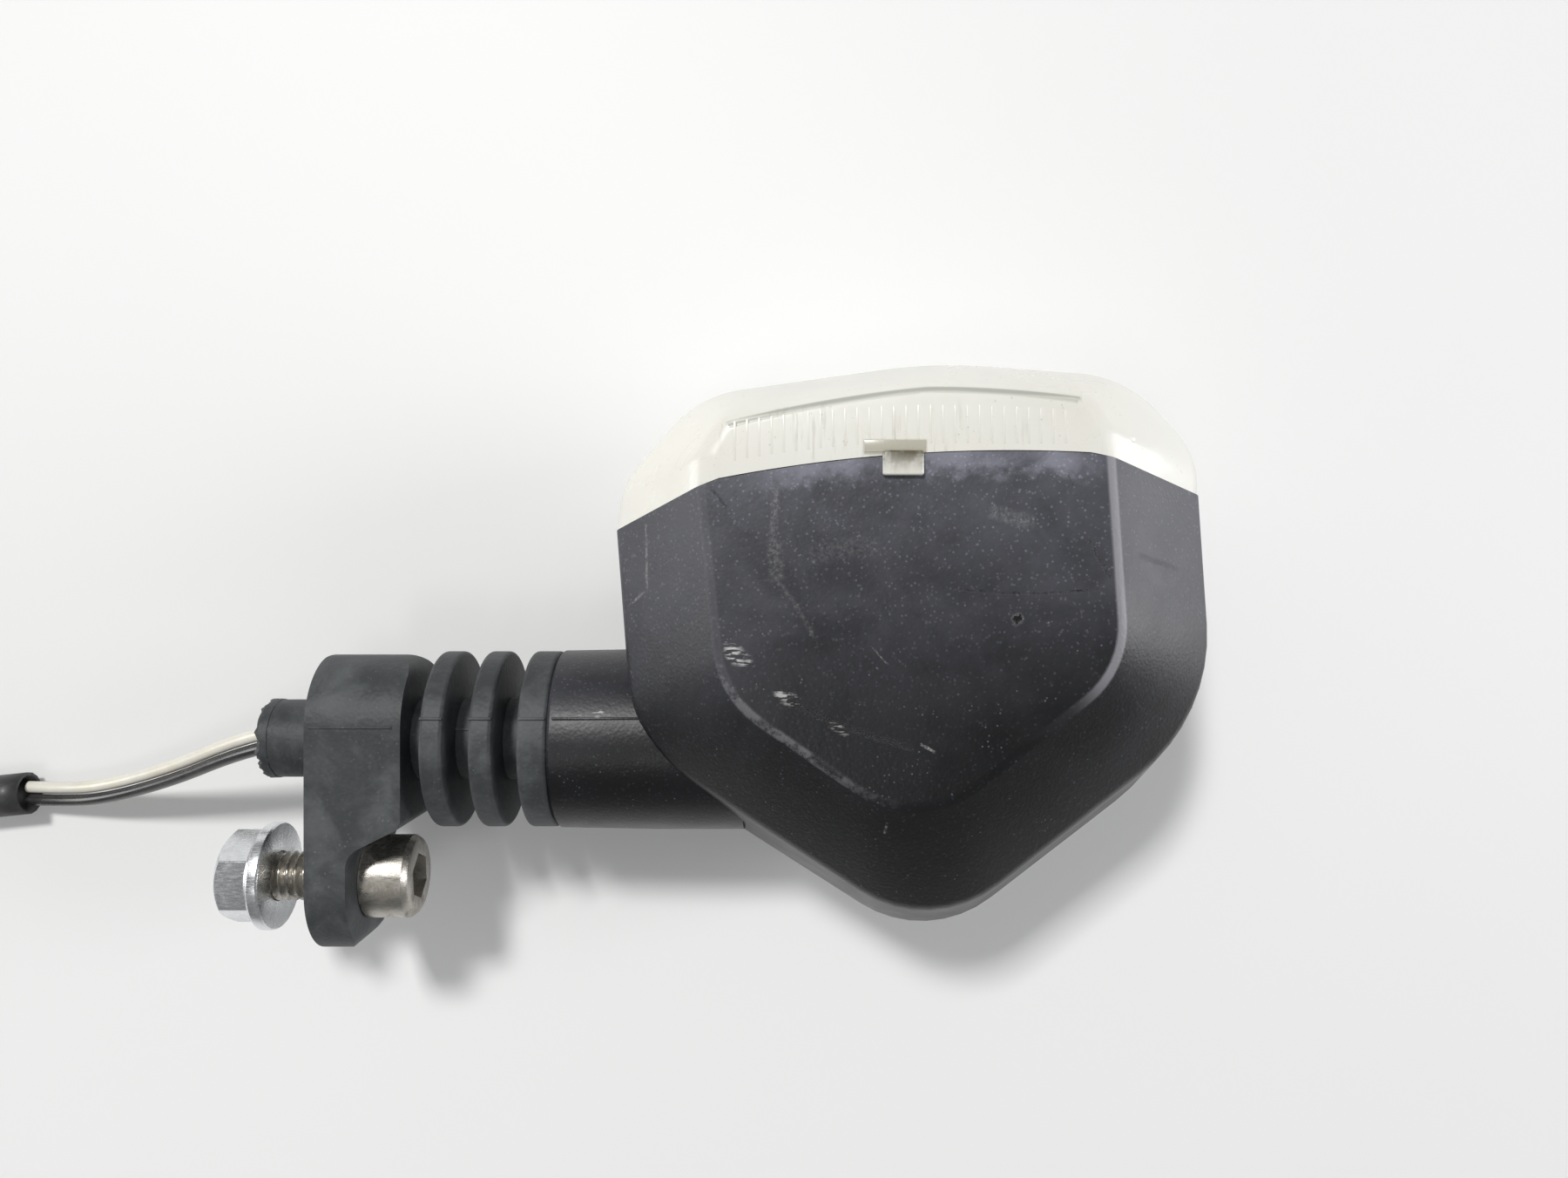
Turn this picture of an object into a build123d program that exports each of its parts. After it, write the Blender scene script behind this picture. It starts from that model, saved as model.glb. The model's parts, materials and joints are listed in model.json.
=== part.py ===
from build123d import *
import os
from math import cos, pi, radians, sin, sqrt, tan

# A motorcycle turn signal: a shield-shaped lamp pod on a flexible rubber stem.
# Millimetres. The origin is on the stem's axis, at the face that meets the machine.
# +X runs out along the stem, +Y points out through the lens, +Z is up.

# ---- stem ----
flange_depth = 11.2
lug_depth = 4.8
flange_half_width = 8.5
flange_top = 10.3
bolt_y = -17.0
lug_radius = 8.4
core_radius = 5.0
rib_radius = 10.7
rib_starts = (13.9, 19.55)
rib_width = 2.7
collar_start = 25.1
neck_start = 28.55
boot_length = 7.0
boot_radius = 4.75
lead_bore = 2.2
spigot_radius = 6.4
spigot_end = 40.4
neck_end = 51.0
neck_boss_start = 36.0
neck_boss_radius = 9.5
neck_bore = 8.7

# ---- fixing bolt ----
thread_radius = 3.0
bolt_length = 16.0
bolt_head_radius = 5.0
bolt_head_height = 6.0
bolt_hex = 5.0
head_gap = 0.15
nut_face = -6.4
nut_height = 6.0
nut_hex = 10.0
nut_flange_radius = 6.5
nut_flange_depth = 1.6
bush_radius = 4.0
turning_gap = 0.06

# ---- pod: corners in plan, going round from the upper left, with their corner radii ----
face_height = 20.0
rim_height = 11.0
wall = 2.2
face_inset = 1.35
rim_inset = 0.35
tightest_corner = 0.4
face_corners = [
    (46.85, 29.4), (49.15, 7.05), (70.1, -7.6), (92.1, 9.9), (90.55, 32.5),
    (90.0, 35.6), (87.6, 39.2), (70.6, 40.2), (49.4, 36.8), (47.1, 33.0),
]
rim_corners = [
    (36.65, 25.05), (38.5, 0.94), (72.67, -21.2), (104.9, 4.0), (103.2, 29.0),
    (103.6, 33.4), (95.0, 42.7), (73.1, 44.4), (46.0, 40.6), (37.2, 30.4),
]
middle_corners = [
    (36.65, 25.05), (38.5, -3.4), (73.5, -25.8), (104.9, -1.6), (103.2, 29.0),
    (103.6, 33.4), (95.0, 42.7), (73.1, 44.4), (46.0, 40.6), (37.2, 30.4),
]
face_radii = [2.0, 11.0, 11.5, 10.0, 2.0, 1.2, 1.5, 12.0, 1.5, 1.2]
rim_radii = [2.5, 15.5, 13.5, 20.0, 2.5, 3.0, 3.0, 14.0, 4.0, 4.0]
middle_radii = [2.5, 15.5, 13.9, 20.0, 2.5, 3.0, 3.0, 14.0, 4.0, 4.0]

# ---- lamp ----
lamp_x = 72.0
socket_bottom = -13.0
socket_top = 6.8
socket_inner = 7.56
socket_outer = 8.2
bulb_push = 1.5
bulb_twist = 30.0
base_start = -3.0
base_length = 15.0
base_radius = 7.5
glass_radius = 9.0
glass_centre = 23.0
pin_radius = 1.0
pin_reach = 8.5
pin_y = 3.5

# ---- leads ----
wire_radius = 0.8
wire_offset = 0.875
sleeve_radius = 2.9
table = -20.0
coil_centre = (-95.4, 14.4)
coil_outer = 35.0
coil_inner = 27.0

os.makedirs("parts", exist_ok=True)


def save(piece, name):
    piece.part.label = name
    export_step(piece.part, "parts/" + name + ".step")


def inset_corners(corners, depth):
    """The same corners, each side moved inwards by the wall's depth."""
    moved = []
    count = len(corners)
    for index in range(count):
        before = Vector(*corners[index - 1])
        here = Vector(*corners[index])
        after = Vector(*corners[(index + 1) % count])
        along_in = (here - before).normalized()
        along_out = (after - here).normalized()
        normal_in = Vector(-along_in.Y, along_in.X)
        normal_out = Vector(-along_out.Y, along_out.X)
        scale = depth / (1 + normal_in.dot(normal_out))
        moved.append((here.X + scale * (normal_in.X + normal_out.X),
                      here.Y + scale * (normal_in.Y + normal_out.Y)))
    return moved


def pod_outline(corners, radii, height, depth=0.0):
    """One level of the pod in plan, with its corners rounded."""
    with BuildSketch(Plane.XY.offset(height)) as outline:
        with BuildLine():
            FilletPolyline(*inset_corners(corners, depth),
                           radius=[max(radius - depth, tightest_corner) for radius in radii],
                           close=True)
        make_face()
    return outline.sketch


def pod_form(depth):
    """The pod's closed form, shrunk by depth on every side."""
    face_z = face_height - depth
    rim_z = rim_height - rim_inset * depth
    faces = [pod_outline(face_corners, face_radii, side * face_z, face_inset * depth) for side in (-1, 1)]
    rims = [pod_outline(rim_corners, rim_radii, side * rim_z, depth) for side in (-1, 1)]
    middle = pod_outline(middle_corners, middle_radii, 0.0, depth)
    return loft([faces[0], rims[0], middle, rims[1], faces[1]], ruled=True)


def junction_face(drop):
    """All of the plan that lies below the line where the lens meets the housing."""
    with BuildSketch(Plane.XY.offset(-30)) as below:
        with BuildLine():
            left = Line((36.7, 25.0 - drop), (47.1, 29.7 - drop))
            ThreePointArc(left @ 1, (70.4, 32.75 - drop), (90.1, 32.7 - drop))
            Polyline((90.1, 32.7 - drop), (102.7, 29.1 - drop), (125, 22.8 - drop), (125, -60),
                     (0, -60), (0, 8.4 - drop), left @ 0)
        make_face()
    return below.sketch


def turned_tube(outer, inner, start, end):
    """A round tube along X, centred on the stem's axis."""
    with BuildPart() as tube:
        with BuildSketch(Plane.YZ.offset(start)):
            Circle(outer)
            Circle(inner, mode=Mode.SUBTRACT)
        extrude(amount=end - start)
    return tube


def route_radii(points):
    """Each corner's arc: 0.45 of the shorter run beside it, over the tangent of half the turn."""
    radii = []
    for before, here, after in zip(points, points[1:], points[2:]):
        run_in = Vector(*here) - Vector(*before)
        run_out = Vector(*after) - Vector(*here)
        half_turn = radians(run_in.get_angle(run_out) / 2)
        radii.append(0.45 * min(run_in.length, run_out.length) / tan(half_turn))
    return radii


def cord(points, radius, name):
    """A tube along straight runs joined by arcs; it prints its radii, length and volume share."""
    radii = route_radii(points)
    with BuildPart() as tube:
        with BuildLine() as route:
            FilletPolyline(*points, radius=radii)
        first_run = Vector(*points[1]) - Vector(*points[0])
        with BuildSketch(Plane(origin=points[0], z_dir=first_run.normalized())):
            Circle(radius)
        sweep()
    length = sum(edge.length for edge in route.edges())
    share = tube.part.volume / (pi * radius * radius * length)
    print(name, "radii", [round(value, 1) for value in radii],
          "length", round(length, 1), "volume share", round(share, 4))
    return tube


# ---- rubber stem: one moulding, kept in parts so that it can flex at its two outer gaps ----
slot_top = flange_top - flange_half_width
slot_bottom = bolt_y - lug_radius + flange_half_width
with BuildPart() as stem_flange:
    with BuildSketch(Plane.XY.offset(-flange_half_width)):
        with BuildLine():
            FilletPolyline((0, bolt_y - lug_radius), (lug_depth, bolt_y - lug_radius),
                           (lug_depth, -12.6), (flange_depth, -9.4), (flange_depth, flange_top),
                           (0, flange_top), radius=[0.8, 2.6, 2.6, 1.0, 2.5, 0.3], close=True)
        make_face()
    extrude(amount=2 * flange_half_width)
    with BuildSketch(Plane.YZ):
        with Locations(((slot_top + slot_bottom) / 2, 0)):
            SlotCenterToCenter(slot_top - slot_bottom, 2 * flange_half_width)
    extrude(amount=flange_depth, mode=Mode.INTERSECT)
    with BuildSketch(Plane.YZ.offset(-boot_length)):
        Circle(boot_radius)
    extrude(amount=boot_length)
    with BuildSketch(Plane.YZ.offset(-boot_length)):
        Circle(lead_bore)
    extrude(amount=boot_length + flange_depth, mode=Mode.SUBTRACT)
    with BuildSketch(Plane.YZ):
        with Locations((bolt_y, 0)):
            Circle(bush_radius)
    extrude(amount=flange_depth, mode=Mode.SUBTRACT)
    with BuildSketch(Plane.YZ.offset(lug_depth)):
        with Locations((bolt_y, 0)):
            Circle(bolt_head_radius + head_gap)
    extrude(amount=flange_depth, mode=Mode.SUBTRACT)
save(stem_flange, "stem_flange")

stem_gap_inner = turned_tube(core_radius, lead_bore, flange_depth, rib_starts[0])
save(stem_gap_inner, "stem_gap_inner")

with BuildPart() as stem_ribs:
    with BuildSketch(Plane.YZ.offset(rib_starts[0])):
        Circle(core_radius)
    extrude(amount=rib_starts[1] + rib_width - rib_starts[0])
    for rib_start in rib_starts:
        with BuildSketch(Plane.YZ.offset(rib_start)):
            Circle(rib_radius)
        extrude(amount=rib_width)
    fillet(stem_ribs.edges().filter_by(GeomType.CIRCLE).filter_by(
        lambda edge: edge.radius > rib_radius - 0.1), 0.5)
    with BuildSketch(Plane.YZ.offset(rib_starts[0])):
        Circle(lead_bore)
    extrude(amount=rib_starts[1] + rib_width - rib_starts[0], mode=Mode.SUBTRACT)
save(stem_ribs, "stem_ribs")

stem_gap_outer = turned_tube(core_radius, lead_bore, rib_starts[1] + rib_width, collar_start)
save(stem_gap_outer, "stem_gap_outer")

# ---- collar and spigot, with the steel tube moulded into them ----
insert_start = 26.6
insert_end = 47.0
insert_radius = 4.0
with BuildPart() as stem_collar:
    with BuildSketch(Plane.YZ.offset(collar_start)):
        Circle(rib_radius)
    extrude(amount=neck_start - collar_start)
    fillet(stem_collar.edges().filter_by(GeomType.CIRCLE), 0.5)
    with BuildSketch(Plane.YZ.offset(neck_start)):
        Circle(spigot_radius)
    extrude(amount=spigot_end - neck_start)
    with BuildSketch(Plane.YZ.offset(collar_start)):
        Circle(lead_bore)
    extrude(amount=insert_start - collar_start, mode=Mode.SUBTRACT)
    with BuildSketch(Plane.YZ.offset(insert_start)):
        Circle(insert_radius)
    extrude(amount=spigot_end - insert_start, mode=Mode.SUBTRACT)
save(stem_collar, "stem_collar")

stem_insert = turned_tube(insert_radius, lead_bore, insert_start, insert_end)
save(stem_insert, "stem_insert")

washer_end = spigot_end + 1.5
insert_washer = turned_tube(8.5, insert_radius, spigot_end, washer_end)
save(insert_washer, "insert_washer")

with BuildPart() as insert_nut:
    with BuildSketch(Plane.YZ.offset(washer_end)):
        RegularPolygon(6.5, 6, major_radius=False)
        Circle(insert_radius, mode=Mode.SUBTRACT)
    extrude(amount=4.0)
save(insert_nut, "insert_nut")

# ---- fixing bolt, its bush and its flange nut ----
bolt_axis = Plane(origin=(0, bolt_y, 0), x_dir=(0, 1, 0), z_dir=(1, 0, 0))
with BuildPart() as lug_bush:
    with BuildSketch(bolt_axis):
        Circle(bush_radius)
        Circle(thread_radius + turning_gap, mode=Mode.SUBTRACT)
    extrude(amount=lug_depth)
save(lug_bush, "lug_bush")

with BuildPart() as fixing_bolt:
    with BuildSketch(bolt_axis.offset(lug_depth - bolt_length)):
        Circle(thread_radius)
    extrude(amount=bolt_length)
    chamfer(fixing_bolt.edges().group_by(Axis.X)[0], 0.5)
    with BuildSketch(bolt_axis.offset(lug_depth)):
        Circle(bolt_head_radius)
    extrude(amount=bolt_head_height)
    fillet(fixing_bolt.edges().group_by(Axis.X)[-1], 0.6)
    with BuildSketch(bolt_axis.offset(lug_depth + bolt_head_height)):
        RegularPolygon(bolt_hex / 2, 6, major_radius=False)
    extrude(amount=-3.2, mode=Mode.SUBTRACT)
save(fixing_bolt, "fixing_bolt")

with BuildPart() as flange_nut:
    with BuildSketch(bolt_axis.offset(nut_face - nut_height)):
        RegularPolygon(nut_hex / 2, 6, major_radius=False)
    extrude(amount=nut_height)
    with BuildSketch(bolt_axis.offset(nut_face - nut_height)):
        Circle(nut_hex / 2 / cos(pi / 6) - 0.05)
    extrude(amount=nut_height, mode=Mode.INTERSECT)
    with BuildSketch(bolt_axis.offset(nut_face - nut_flange_depth)):
        Circle(nut_flange_radius)
    extrude(amount=nut_flange_depth)
    with BuildSketch(bolt_axis.offset(nut_face - nut_height)):
        Circle(thread_radius + turning_gap)
    extrude(amount=nut_height, mode=Mode.SUBTRACT)
save(flange_nut, "flange_nut")

# ---- housing and lens: one closed form, parted along the junction ----
outer_form = pod_form(0.0)
inner_form = pod_form(wall)
lens_gap = 0.1
tab_x = 68.4
tab_y = 32.15
tab_width = 4.4
tab_length = 3.5
tab_thickness = 0.7
tab_root_x = 67.6
tab_root_y = 33.6
tab_root_width = 6.5
tab_root_length = 1.4
tab_root_depth = 0.6

with BuildPart() as housing:
    add(outer_form)
    with BuildSketch(Plane.YZ.offset(neck_start)):
        Circle(rib_radius)
    extrude(amount=neck_end - neck_start)
    add(inner_form, mode=Mode.SUBTRACT)
    with BuildSketch(Plane.YZ.offset(neck_boss_start)):
        Circle(neck_boss_radius)
    extrude(amount=spigot_end - neck_boss_start)
    with BuildSketch(Plane.YZ.offset(spigot_end)):
        Circle(neck_bore)
    extrude(amount=neck_end - spigot_end, mode=Mode.SUBTRACT)
    with BuildSketch(Plane.YZ.offset(neck_start)):
        Circle(spigot_radius)
    extrude(amount=spigot_end - neck_start, mode=Mode.SUBTRACT)
    extrude(junction_face(0.0), amount=60, mode=Mode.INTERSECT)
save(housing, "housing")

with BuildPart() as lens:
    add(outer_form)
    add(inner_form, mode=Mode.SUBTRACT)
    extrude(junction_face(-lens_gap), amount=60, mode=Mode.SUBTRACT)
    with BuildSketch(Plane.XY.offset(face_height + lens_gap)):
        with Locations((tab_x, tab_y)):
            RectangleRounded(tab_width, tab_length, 0.5)
    extrude(amount=tab_thickness)
    with BuildSketch(Plane.XY.offset(face_height - tab_root_depth)):
        with Locations((tab_root_x, tab_root_y)):
            Rectangle(tab_root_width, tab_root_length)
    extrude(amount=tab_root_depth + lens_gap + 0.2)
save(lens, "lens")

# ---- seal, just under the lens inside the housing's mouth ----
with BuildPart() as lens_seal:
    add(pod_form(wall + 0.05))
    add(pod_form(wall + 1.6), mode=Mode.SUBTRACT)
    extrude(junction_face(0.2), amount=60, mode=Mode.INTERSECT)
    extrude(junction_face(2.2), amount=60, mode=Mode.SUBTRACT)
save(lens_seal, "lens_seal")

# ---- reflector: a bowl round the lamp with a plate that fills the housing's mouth ----
bowl_start = socket_top + 1.0
bowl_plate = 22.2
bowl_mouth = 15.6
sheet = 1.0
with BuildPart() as bowl:
    with BuildSketch(Plane.XY):
        with BuildLine():
            inner_curve = Spline((lamp_x + 9.2, bowl_start), (lamp_x + 13.2, 14.4),
                                 (lamp_x + bowl_mouth, bowl_plate))
            outer_curve = Spline((lamp_x + bowl_mouth + sheet, bowl_plate),
                                 (lamp_x + 13.2 + sheet, 14.0), (lamp_x + 11.4, bowl_start - 1.0))
            Line(inner_curve @ 1, outer_curve @ 0)
            Polyline(outer_curve @ 1, (lamp_x + 9.2, bowl_start - 1.0), inner_curve @ 0)
        make_face()
    revolve(axis=Axis((lamp_x, 0, 0), (0, 1, 0)))
plate_level = Plane(origin=(lamp_x, bowl_plate, 0), x_dir=(1, 0, 0), z_dir=(0, -1, 0))
with BuildPart() as reflector:
    add(pod_form(wall + 0.15))
    with BuildSketch(plate_level):
        Rectangle(120, 60)
    extrude(amount=sheet, mode=Mode.INTERSECT)
    with BuildSketch(plate_level):
        Circle(bowl_mouth + 0.4)
    extrude(amount=sheet, mode=Mode.SUBTRACT)
    add(bowl.part)
save(reflector, "reflector")

# ---- bayonet socket ----
lamp_axis = Axis((lamp_x, 0, 0), (0, 1, 0))


def lamp_level(y):
    """The plane square to the lamp's axis at that height, facing out through the lens."""
    return Plane(origin=(lamp_x, y, 0), x_dir=(1, 0, 0), z_dir=(0, 1, 0))


socket_sheet = 0.8
pin_gap = 0.15
rivet_hole = 1.6
slot_reach = 12.0
slot_half_angle = 10
window_low = pin_y - bulb_push - pin_radius - pin_gap
window_high = pin_y + pin_radius + pin_gap


def slot_sector(start_turn, end_turn):
    """A pie slice about the lamp's axis between two angles in degrees, to cut a pin's slot with."""
    turns = [radians(turn) for turn in (start_turn, (start_turn + end_turn) / 2, end_turn)]
    with BuildSketch(lamp_level(window_low)) as slice_face:
        with BuildLine():
            swing = ThreePointArc(*[(slot_reach * cos(turn), slot_reach * sin(turn)) for turn in turns])
            Polyline(swing @ 1, (0, 0), swing @ 0)
        make_face()
    return slice_face.sketch


with BuildPart() as socket_shell:
    with BuildSketch(lamp_level(socket_bottom)):
        Circle(socket_outer)
    extrude(amount=socket_top - socket_bottom)
    with BuildSketch(lamp_level(socket_top - socket_sheet)):
        Circle(11.0)
    extrude(amount=socket_sheet)
    with BuildSketch(lamp_level(socket_bottom + socket_sheet)):
        Circle(socket_inner)
    extrude(amount=socket_top - socket_bottom, mode=Mode.SUBTRACT)
    with BuildSketch(lamp_level(socket_bottom)):
        Circle(rivet_hole)
    extrude(amount=socket_sheet, mode=Mode.SUBTRACT)
    for pin_turn in (90, 270):
        locked_turn = pin_turn + bulb_twist
        extrude(slot_sector(pin_turn - slot_half_angle, locked_turn + slot_half_angle),
                amount=window_high - window_low, mode=Mode.SUBTRACT)
        extrude(slot_sector(locked_turn - slot_half_angle, locked_turn + slot_half_angle),
                amount=socket_top + 1 - window_low, mode=Mode.SUBTRACT)
save(socket_shell, "socket_shell")

with BuildPart() as socket_rivet:
    with BuildSketch(lamp_level(socket_bottom - 1.0)):
        Circle(2.4)
    extrude(amount=1.0)
    with BuildSketch(lamp_level(socket_bottom)):
        Circle(1.5)
    extrude(amount=1.2)
save(socket_rivet, "socket_rivet")

ground_x = lamp_x - socket_outer
with BuildPart() as ground_tab:
    with BuildSketch(Plane.XY.offset(2.4)):
        with Locations((ground_x - 0.35, -4.0)):
            Rectangle(0.7, 5.0)
    extrude(amount=3.2)
save(ground_tab, "ground_tab")

# ---- spring-loaded contact ----
contact_thickness = 1.6
contact_bottom = base_start - 2.6
with BuildPart() as contact_disc:
    with BuildSketch(lamp_level(contact_bottom)):
        Circle(6.8)
    extrude(amount=contact_thickness)
save(contact_disc, "contact_disc")

with BuildPart() as contact_button:
    with BuildSketch(lamp_level(contact_bottom + contact_thickness)):
        Circle(2.2)
    extrude(amount=0.4)
save(contact_button, "contact_button")

spring_bottom = socket_bottom + socket_sheet
coils = 4
spring_wire = 0.45
spring_gap = 0.05
with BuildPart() as contact_spring:
    spring_height = contact_bottom - spring_bottom - 2 * (spring_wire + spring_gap)
    with BuildLine():
        winding = Helix(pitch=spring_height / coils, height=spring_height, radius=4.6,
                        center=(lamp_x, spring_bottom + spring_wire + spring_gap, 0),
                        direction=(0, 1, 0))
    with BuildSketch(Plane(origin=winding @ 0, z_dir=winding % 0)):
        Circle(spring_wire)
    sweep(is_frenet=True)
save(contact_spring, "contact_spring")

# ---- bulb ----
with BuildPart() as bulb_base:
    with BuildSketch(lamp_level(base_start)):
        Circle(base_radius)
    extrude(amount=base_length)
    fillet(bulb_base.edges().group_by(Axis.Y)[0], 0.8)
    with BuildSketch(Plane.XY.offset(-pin_reach)):
        with Locations((lamp_x, pin_y)):
            Circle(pin_radius)
    extrude(amount=2 * pin_reach)
    with BuildSketch(lamp_level(base_start + 1.2)):
        Circle(6.9)
    extrude(amount=base_length, mode=Mode.SUBTRACT)
save(bulb_base, "bulb_base")

with BuildPart() as bulb_tip:
    with BuildSketch(Plane.XY):
        with BuildLine():
            dome = ThreePointArc((lamp_x, base_start - 0.6), (lamp_x + 1.5, base_start - 0.4),
                                 (lamp_x + 2.6, base_start))
            Polyline(dome @ 1, (lamp_x, base_start), dome @ 0)
        make_face()
    revolve(axis=lamp_axis)
save(bulb_tip, "bulb_tip")

glass_wall = 0.6
glass_neck = 6.8
glass_bottom = 9.5
inner_radius = glass_radius - glass_wall
inner_neck = glass_neck - glass_wall
inner_rise = sqrt(inner_radius ** 2 - inner_neck ** 2)
neck_rise = sqrt(glass_radius ** 2 - glass_neck ** 2)


def on_glass(radius):
    """A point 20 degrees above the widest part of the lamp's round glass."""
    return (lamp_x + radius * cos(radians(20)), glass_centre + radius * sin(radians(20)))


with BuildPart() as bulb_glass:
    with BuildSketch(Plane.XY):
        with BuildLine():
            shoulder = Line((lamp_x + glass_neck, glass_bottom),
                            (lamp_x + glass_neck, glass_centre - neck_rise))
            crown = ThreePointArc(shoulder @ 1, on_glass(glass_radius), (lamp_x, glass_centre + glass_radius))
            top_down = Line(crown @ 1, (lamp_x, glass_centre + inner_radius))
            bore = ThreePointArc(top_down @ 1, on_glass(inner_radius),
                                 (lamp_x + inner_neck, glass_centre - inner_rise))
            Polyline(bore @ 1, (lamp_x + inner_neck, glass_bottom), shoulder @ 0)
        make_face()
    revolve(axis=lamp_axis)
save(bulb_glass, "bulb_glass")

with BuildPart() as bulb_stem:
    with BuildSketch(lamp_level(base_start + 1.2)):
        Circle(6.1)
    extrude(amount=0.8)
    with BuildSketch(lamp_level(base_start + 2.0)):
        Circle(2.0)
    extrude(amount=16.0, taper=2)
save(bulb_stem, "bulb_stem")

filament_y = 24.5
post_start = 15.0
with BuildPart() as filament:
    for side in (-1, 1):
        with BuildLine():
            FilletPolyline((lamp_x + side * 0.7, post_start, 0), (lamp_x + side * 0.7, 17.2, 0),
                           (lamp_x + side * 3.0, 21.0, 0), (lamp_x + side * 3.0, filament_y, 0),
                           radius=[0.8, 0.8])
        with BuildSketch(Plane(origin=(lamp_x + side * 0.7, post_start, 0), z_dir=(0, 1, 0))):
            Circle(0.25)
        sweep()
    with BuildSketch(Plane.YZ.offset(lamp_x - 3.2)):
        with Locations((filament_y, 0)):
            Circle(0.45)
    extrude(amount=6.4)
save(filament, "filament")

# ---- leads inside the pod ----
inner_lead_start = rib_starts[1] + rib_width + 1.4
lead_live_points = [(inner_lead_start, wire_offset, 0), (53.0, wire_offset, 0), (59.0, -6.0, 0),
                    (63.4, -14.9, 0), (69.6, -14.9, 0)]
lead_live = cord(lead_live_points, wire_radius, "lead_live")
save(lead_live, "lead_live")

lead_ground_points = [(inner_lead_start, -wire_offset, 0), (48.2, -wire_offset, 0),
                      (53.0, -1.3, 3.6), (ground_x - 0.8, -3.0, 4.0)]
lead_ground = cord(lead_ground_points, wire_radius, "lead_ground")
save(lead_ground, "lead_ground")

# ---- leads through the flexing part of the stem ----
stem_lead_start = flange_depth + 1.35
for name, side in (("stem_lead_live", 1), ("stem_lead_ground", -1)):
    with BuildPart() as stem_lead:
        with BuildSketch(Plane.YZ.offset(stem_lead_start)):
            with Locations((side * wire_offset, 0)):
                Circle(wire_radius)
        extrude(amount=inner_lead_start - stem_lead_start)
    save(stem_lead, name)

# ---- free leads, their sleeve, and its put-away coil on the table ----
mouth = Vector(-48.9, -9.9, -17.1)


def free_lead(side, name):
    """One lead from inside the stem's flange down to the mouth of the sleeve."""
    lift = side * wire_offset
    points = [(-boot_length, lift, 0), (-12.5, lift - 1.25, -2.4), (-24.6, lift - 5.9, -9.0),
              (-37.0, lift - 9.4, -14.6), (-44.0, lift - 10.0, -16.6), (mouth.X, lift - 9.9, mouth.Z)]
    lead = cord(points, wire_radius, name)
    with BuildPart() as whole:
        add(lead.part)
        with BuildSketch(Plane.YZ.offset(-boot_length)):
            with Locations((lift, 0)):
                Circle(wire_radius)
        extrude(amount=boot_length + stem_lead_start)
    return whole


save(free_lead(1, "wire_white"), "wire_white")
save(free_lead(-1, "wire_black"), "wire_black")

entry_turn = -60.0
coil_turns = 1.35
end_turn = entry_turn - 360 * coil_turns
sleeve_z = table + sleeve_radius
coil_entry = (coil_centre[0] + coil_outer * cos(radians(entry_turn)),
              coil_centre[1] + coil_outer * sin(radians(entry_turn)))
sleeve_points = [tuple(mouth), (-60.0, -11.1, sleeve_z), (-70.2, -11.6, sleeve_z),
                 (coil_entry[0], coil_entry[1], sleeve_z)]
wire_sleeve = cord(sleeve_points, sleeve_radius, "wire_sleeve")
save(wire_sleeve, "wire_sleeve")

with BuildPart() as sleeve_coil:
    with BuildSketch(Plane.XY.offset(table)):
        with Locations(coil_centre):
            Circle(coil_outer + sleeve_radius)
            Circle(coil_inner - sleeve_radius, mode=Mode.SUBTRACT)
    extrude(amount=2 * sleeve_radius)
save(sleeve_coil, "sleeve_coil")


def in_coil(turn, radius, z):
    """A point inside the coil, by its angle and its distance from the coil's centre."""
    return (coil_centre[0] + radius * cos(radians(turn)),
            coil_centre[1] + radius * sin(radians(turn)), z)


tail_z = table + wire_radius
tail_starts = {
    "tail_white": [in_coil(end_turn, coil_inner, sleeve_z + wire_offset),
                   in_coil(155, 22.6, tail_z + 1.8), in_coil(131, 21.6, tail_z),
                   in_coil(95, 20.6, tail_z), in_coil(60, 18.6, tail_z + 0.6)],
    "tail_black": [in_coil(end_turn, coil_inner, sleeve_z - wire_offset),
                   in_coil(155, 19.8, tail_z + 0.6), in_coil(128, 17.6, tail_z),
                   in_coil(92, 15.8, tail_z), in_coil(55, 13.0, tail_z + 0.6)],
}
connector_radius = 2.3
connector_z = table + connector_radius
connector_starts = {"tail_white": Vector(-83.6, 24.0, connector_z),
                    "tail_black": Vector(-87.4, 19.0, connector_z)}
connector_ways = {"tail_white": Vector(0.34, -0.94, 0).normalized(),
                  "tail_black": Vector(0.12, -0.99, 0).normalized()}
for name, points in tail_starts.items():
    start = connector_starts[name]
    tail = cord([*points, tuple(start)], wire_radius, name)
    save(tail, name)

cover_length = 12.0
bullet_length = 6.5
bullet_radius = 1.95
with BuildPart() as connector_covers:
    for name, start in connector_starts.items():
        with BuildSketch(Plane(origin=start, z_dir=connector_ways[name])):
            Circle(connector_radius)
        extrude(amount=cover_length)
save(connector_covers, "connector_covers")

with BuildPart() as connector_bullets:
    for name, start in connector_starts.items():
        way = connector_ways[name]
        with BuildSketch(Plane(origin=start + way * cover_length, z_dir=way)):
            Circle(bullet_radius)
        extrude(amount=bullet_length)
    fillet(connector_bullets.edges().filter_by(GeomType.CIRCLE).group_by(Axis.Y)[0], 0.6)
save(connector_bullets, "connector_bullets")
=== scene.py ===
import json
from math import cos, pi, radians, sin

import bmesh
import bpy
from mathutils import Matrix, Vector

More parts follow.
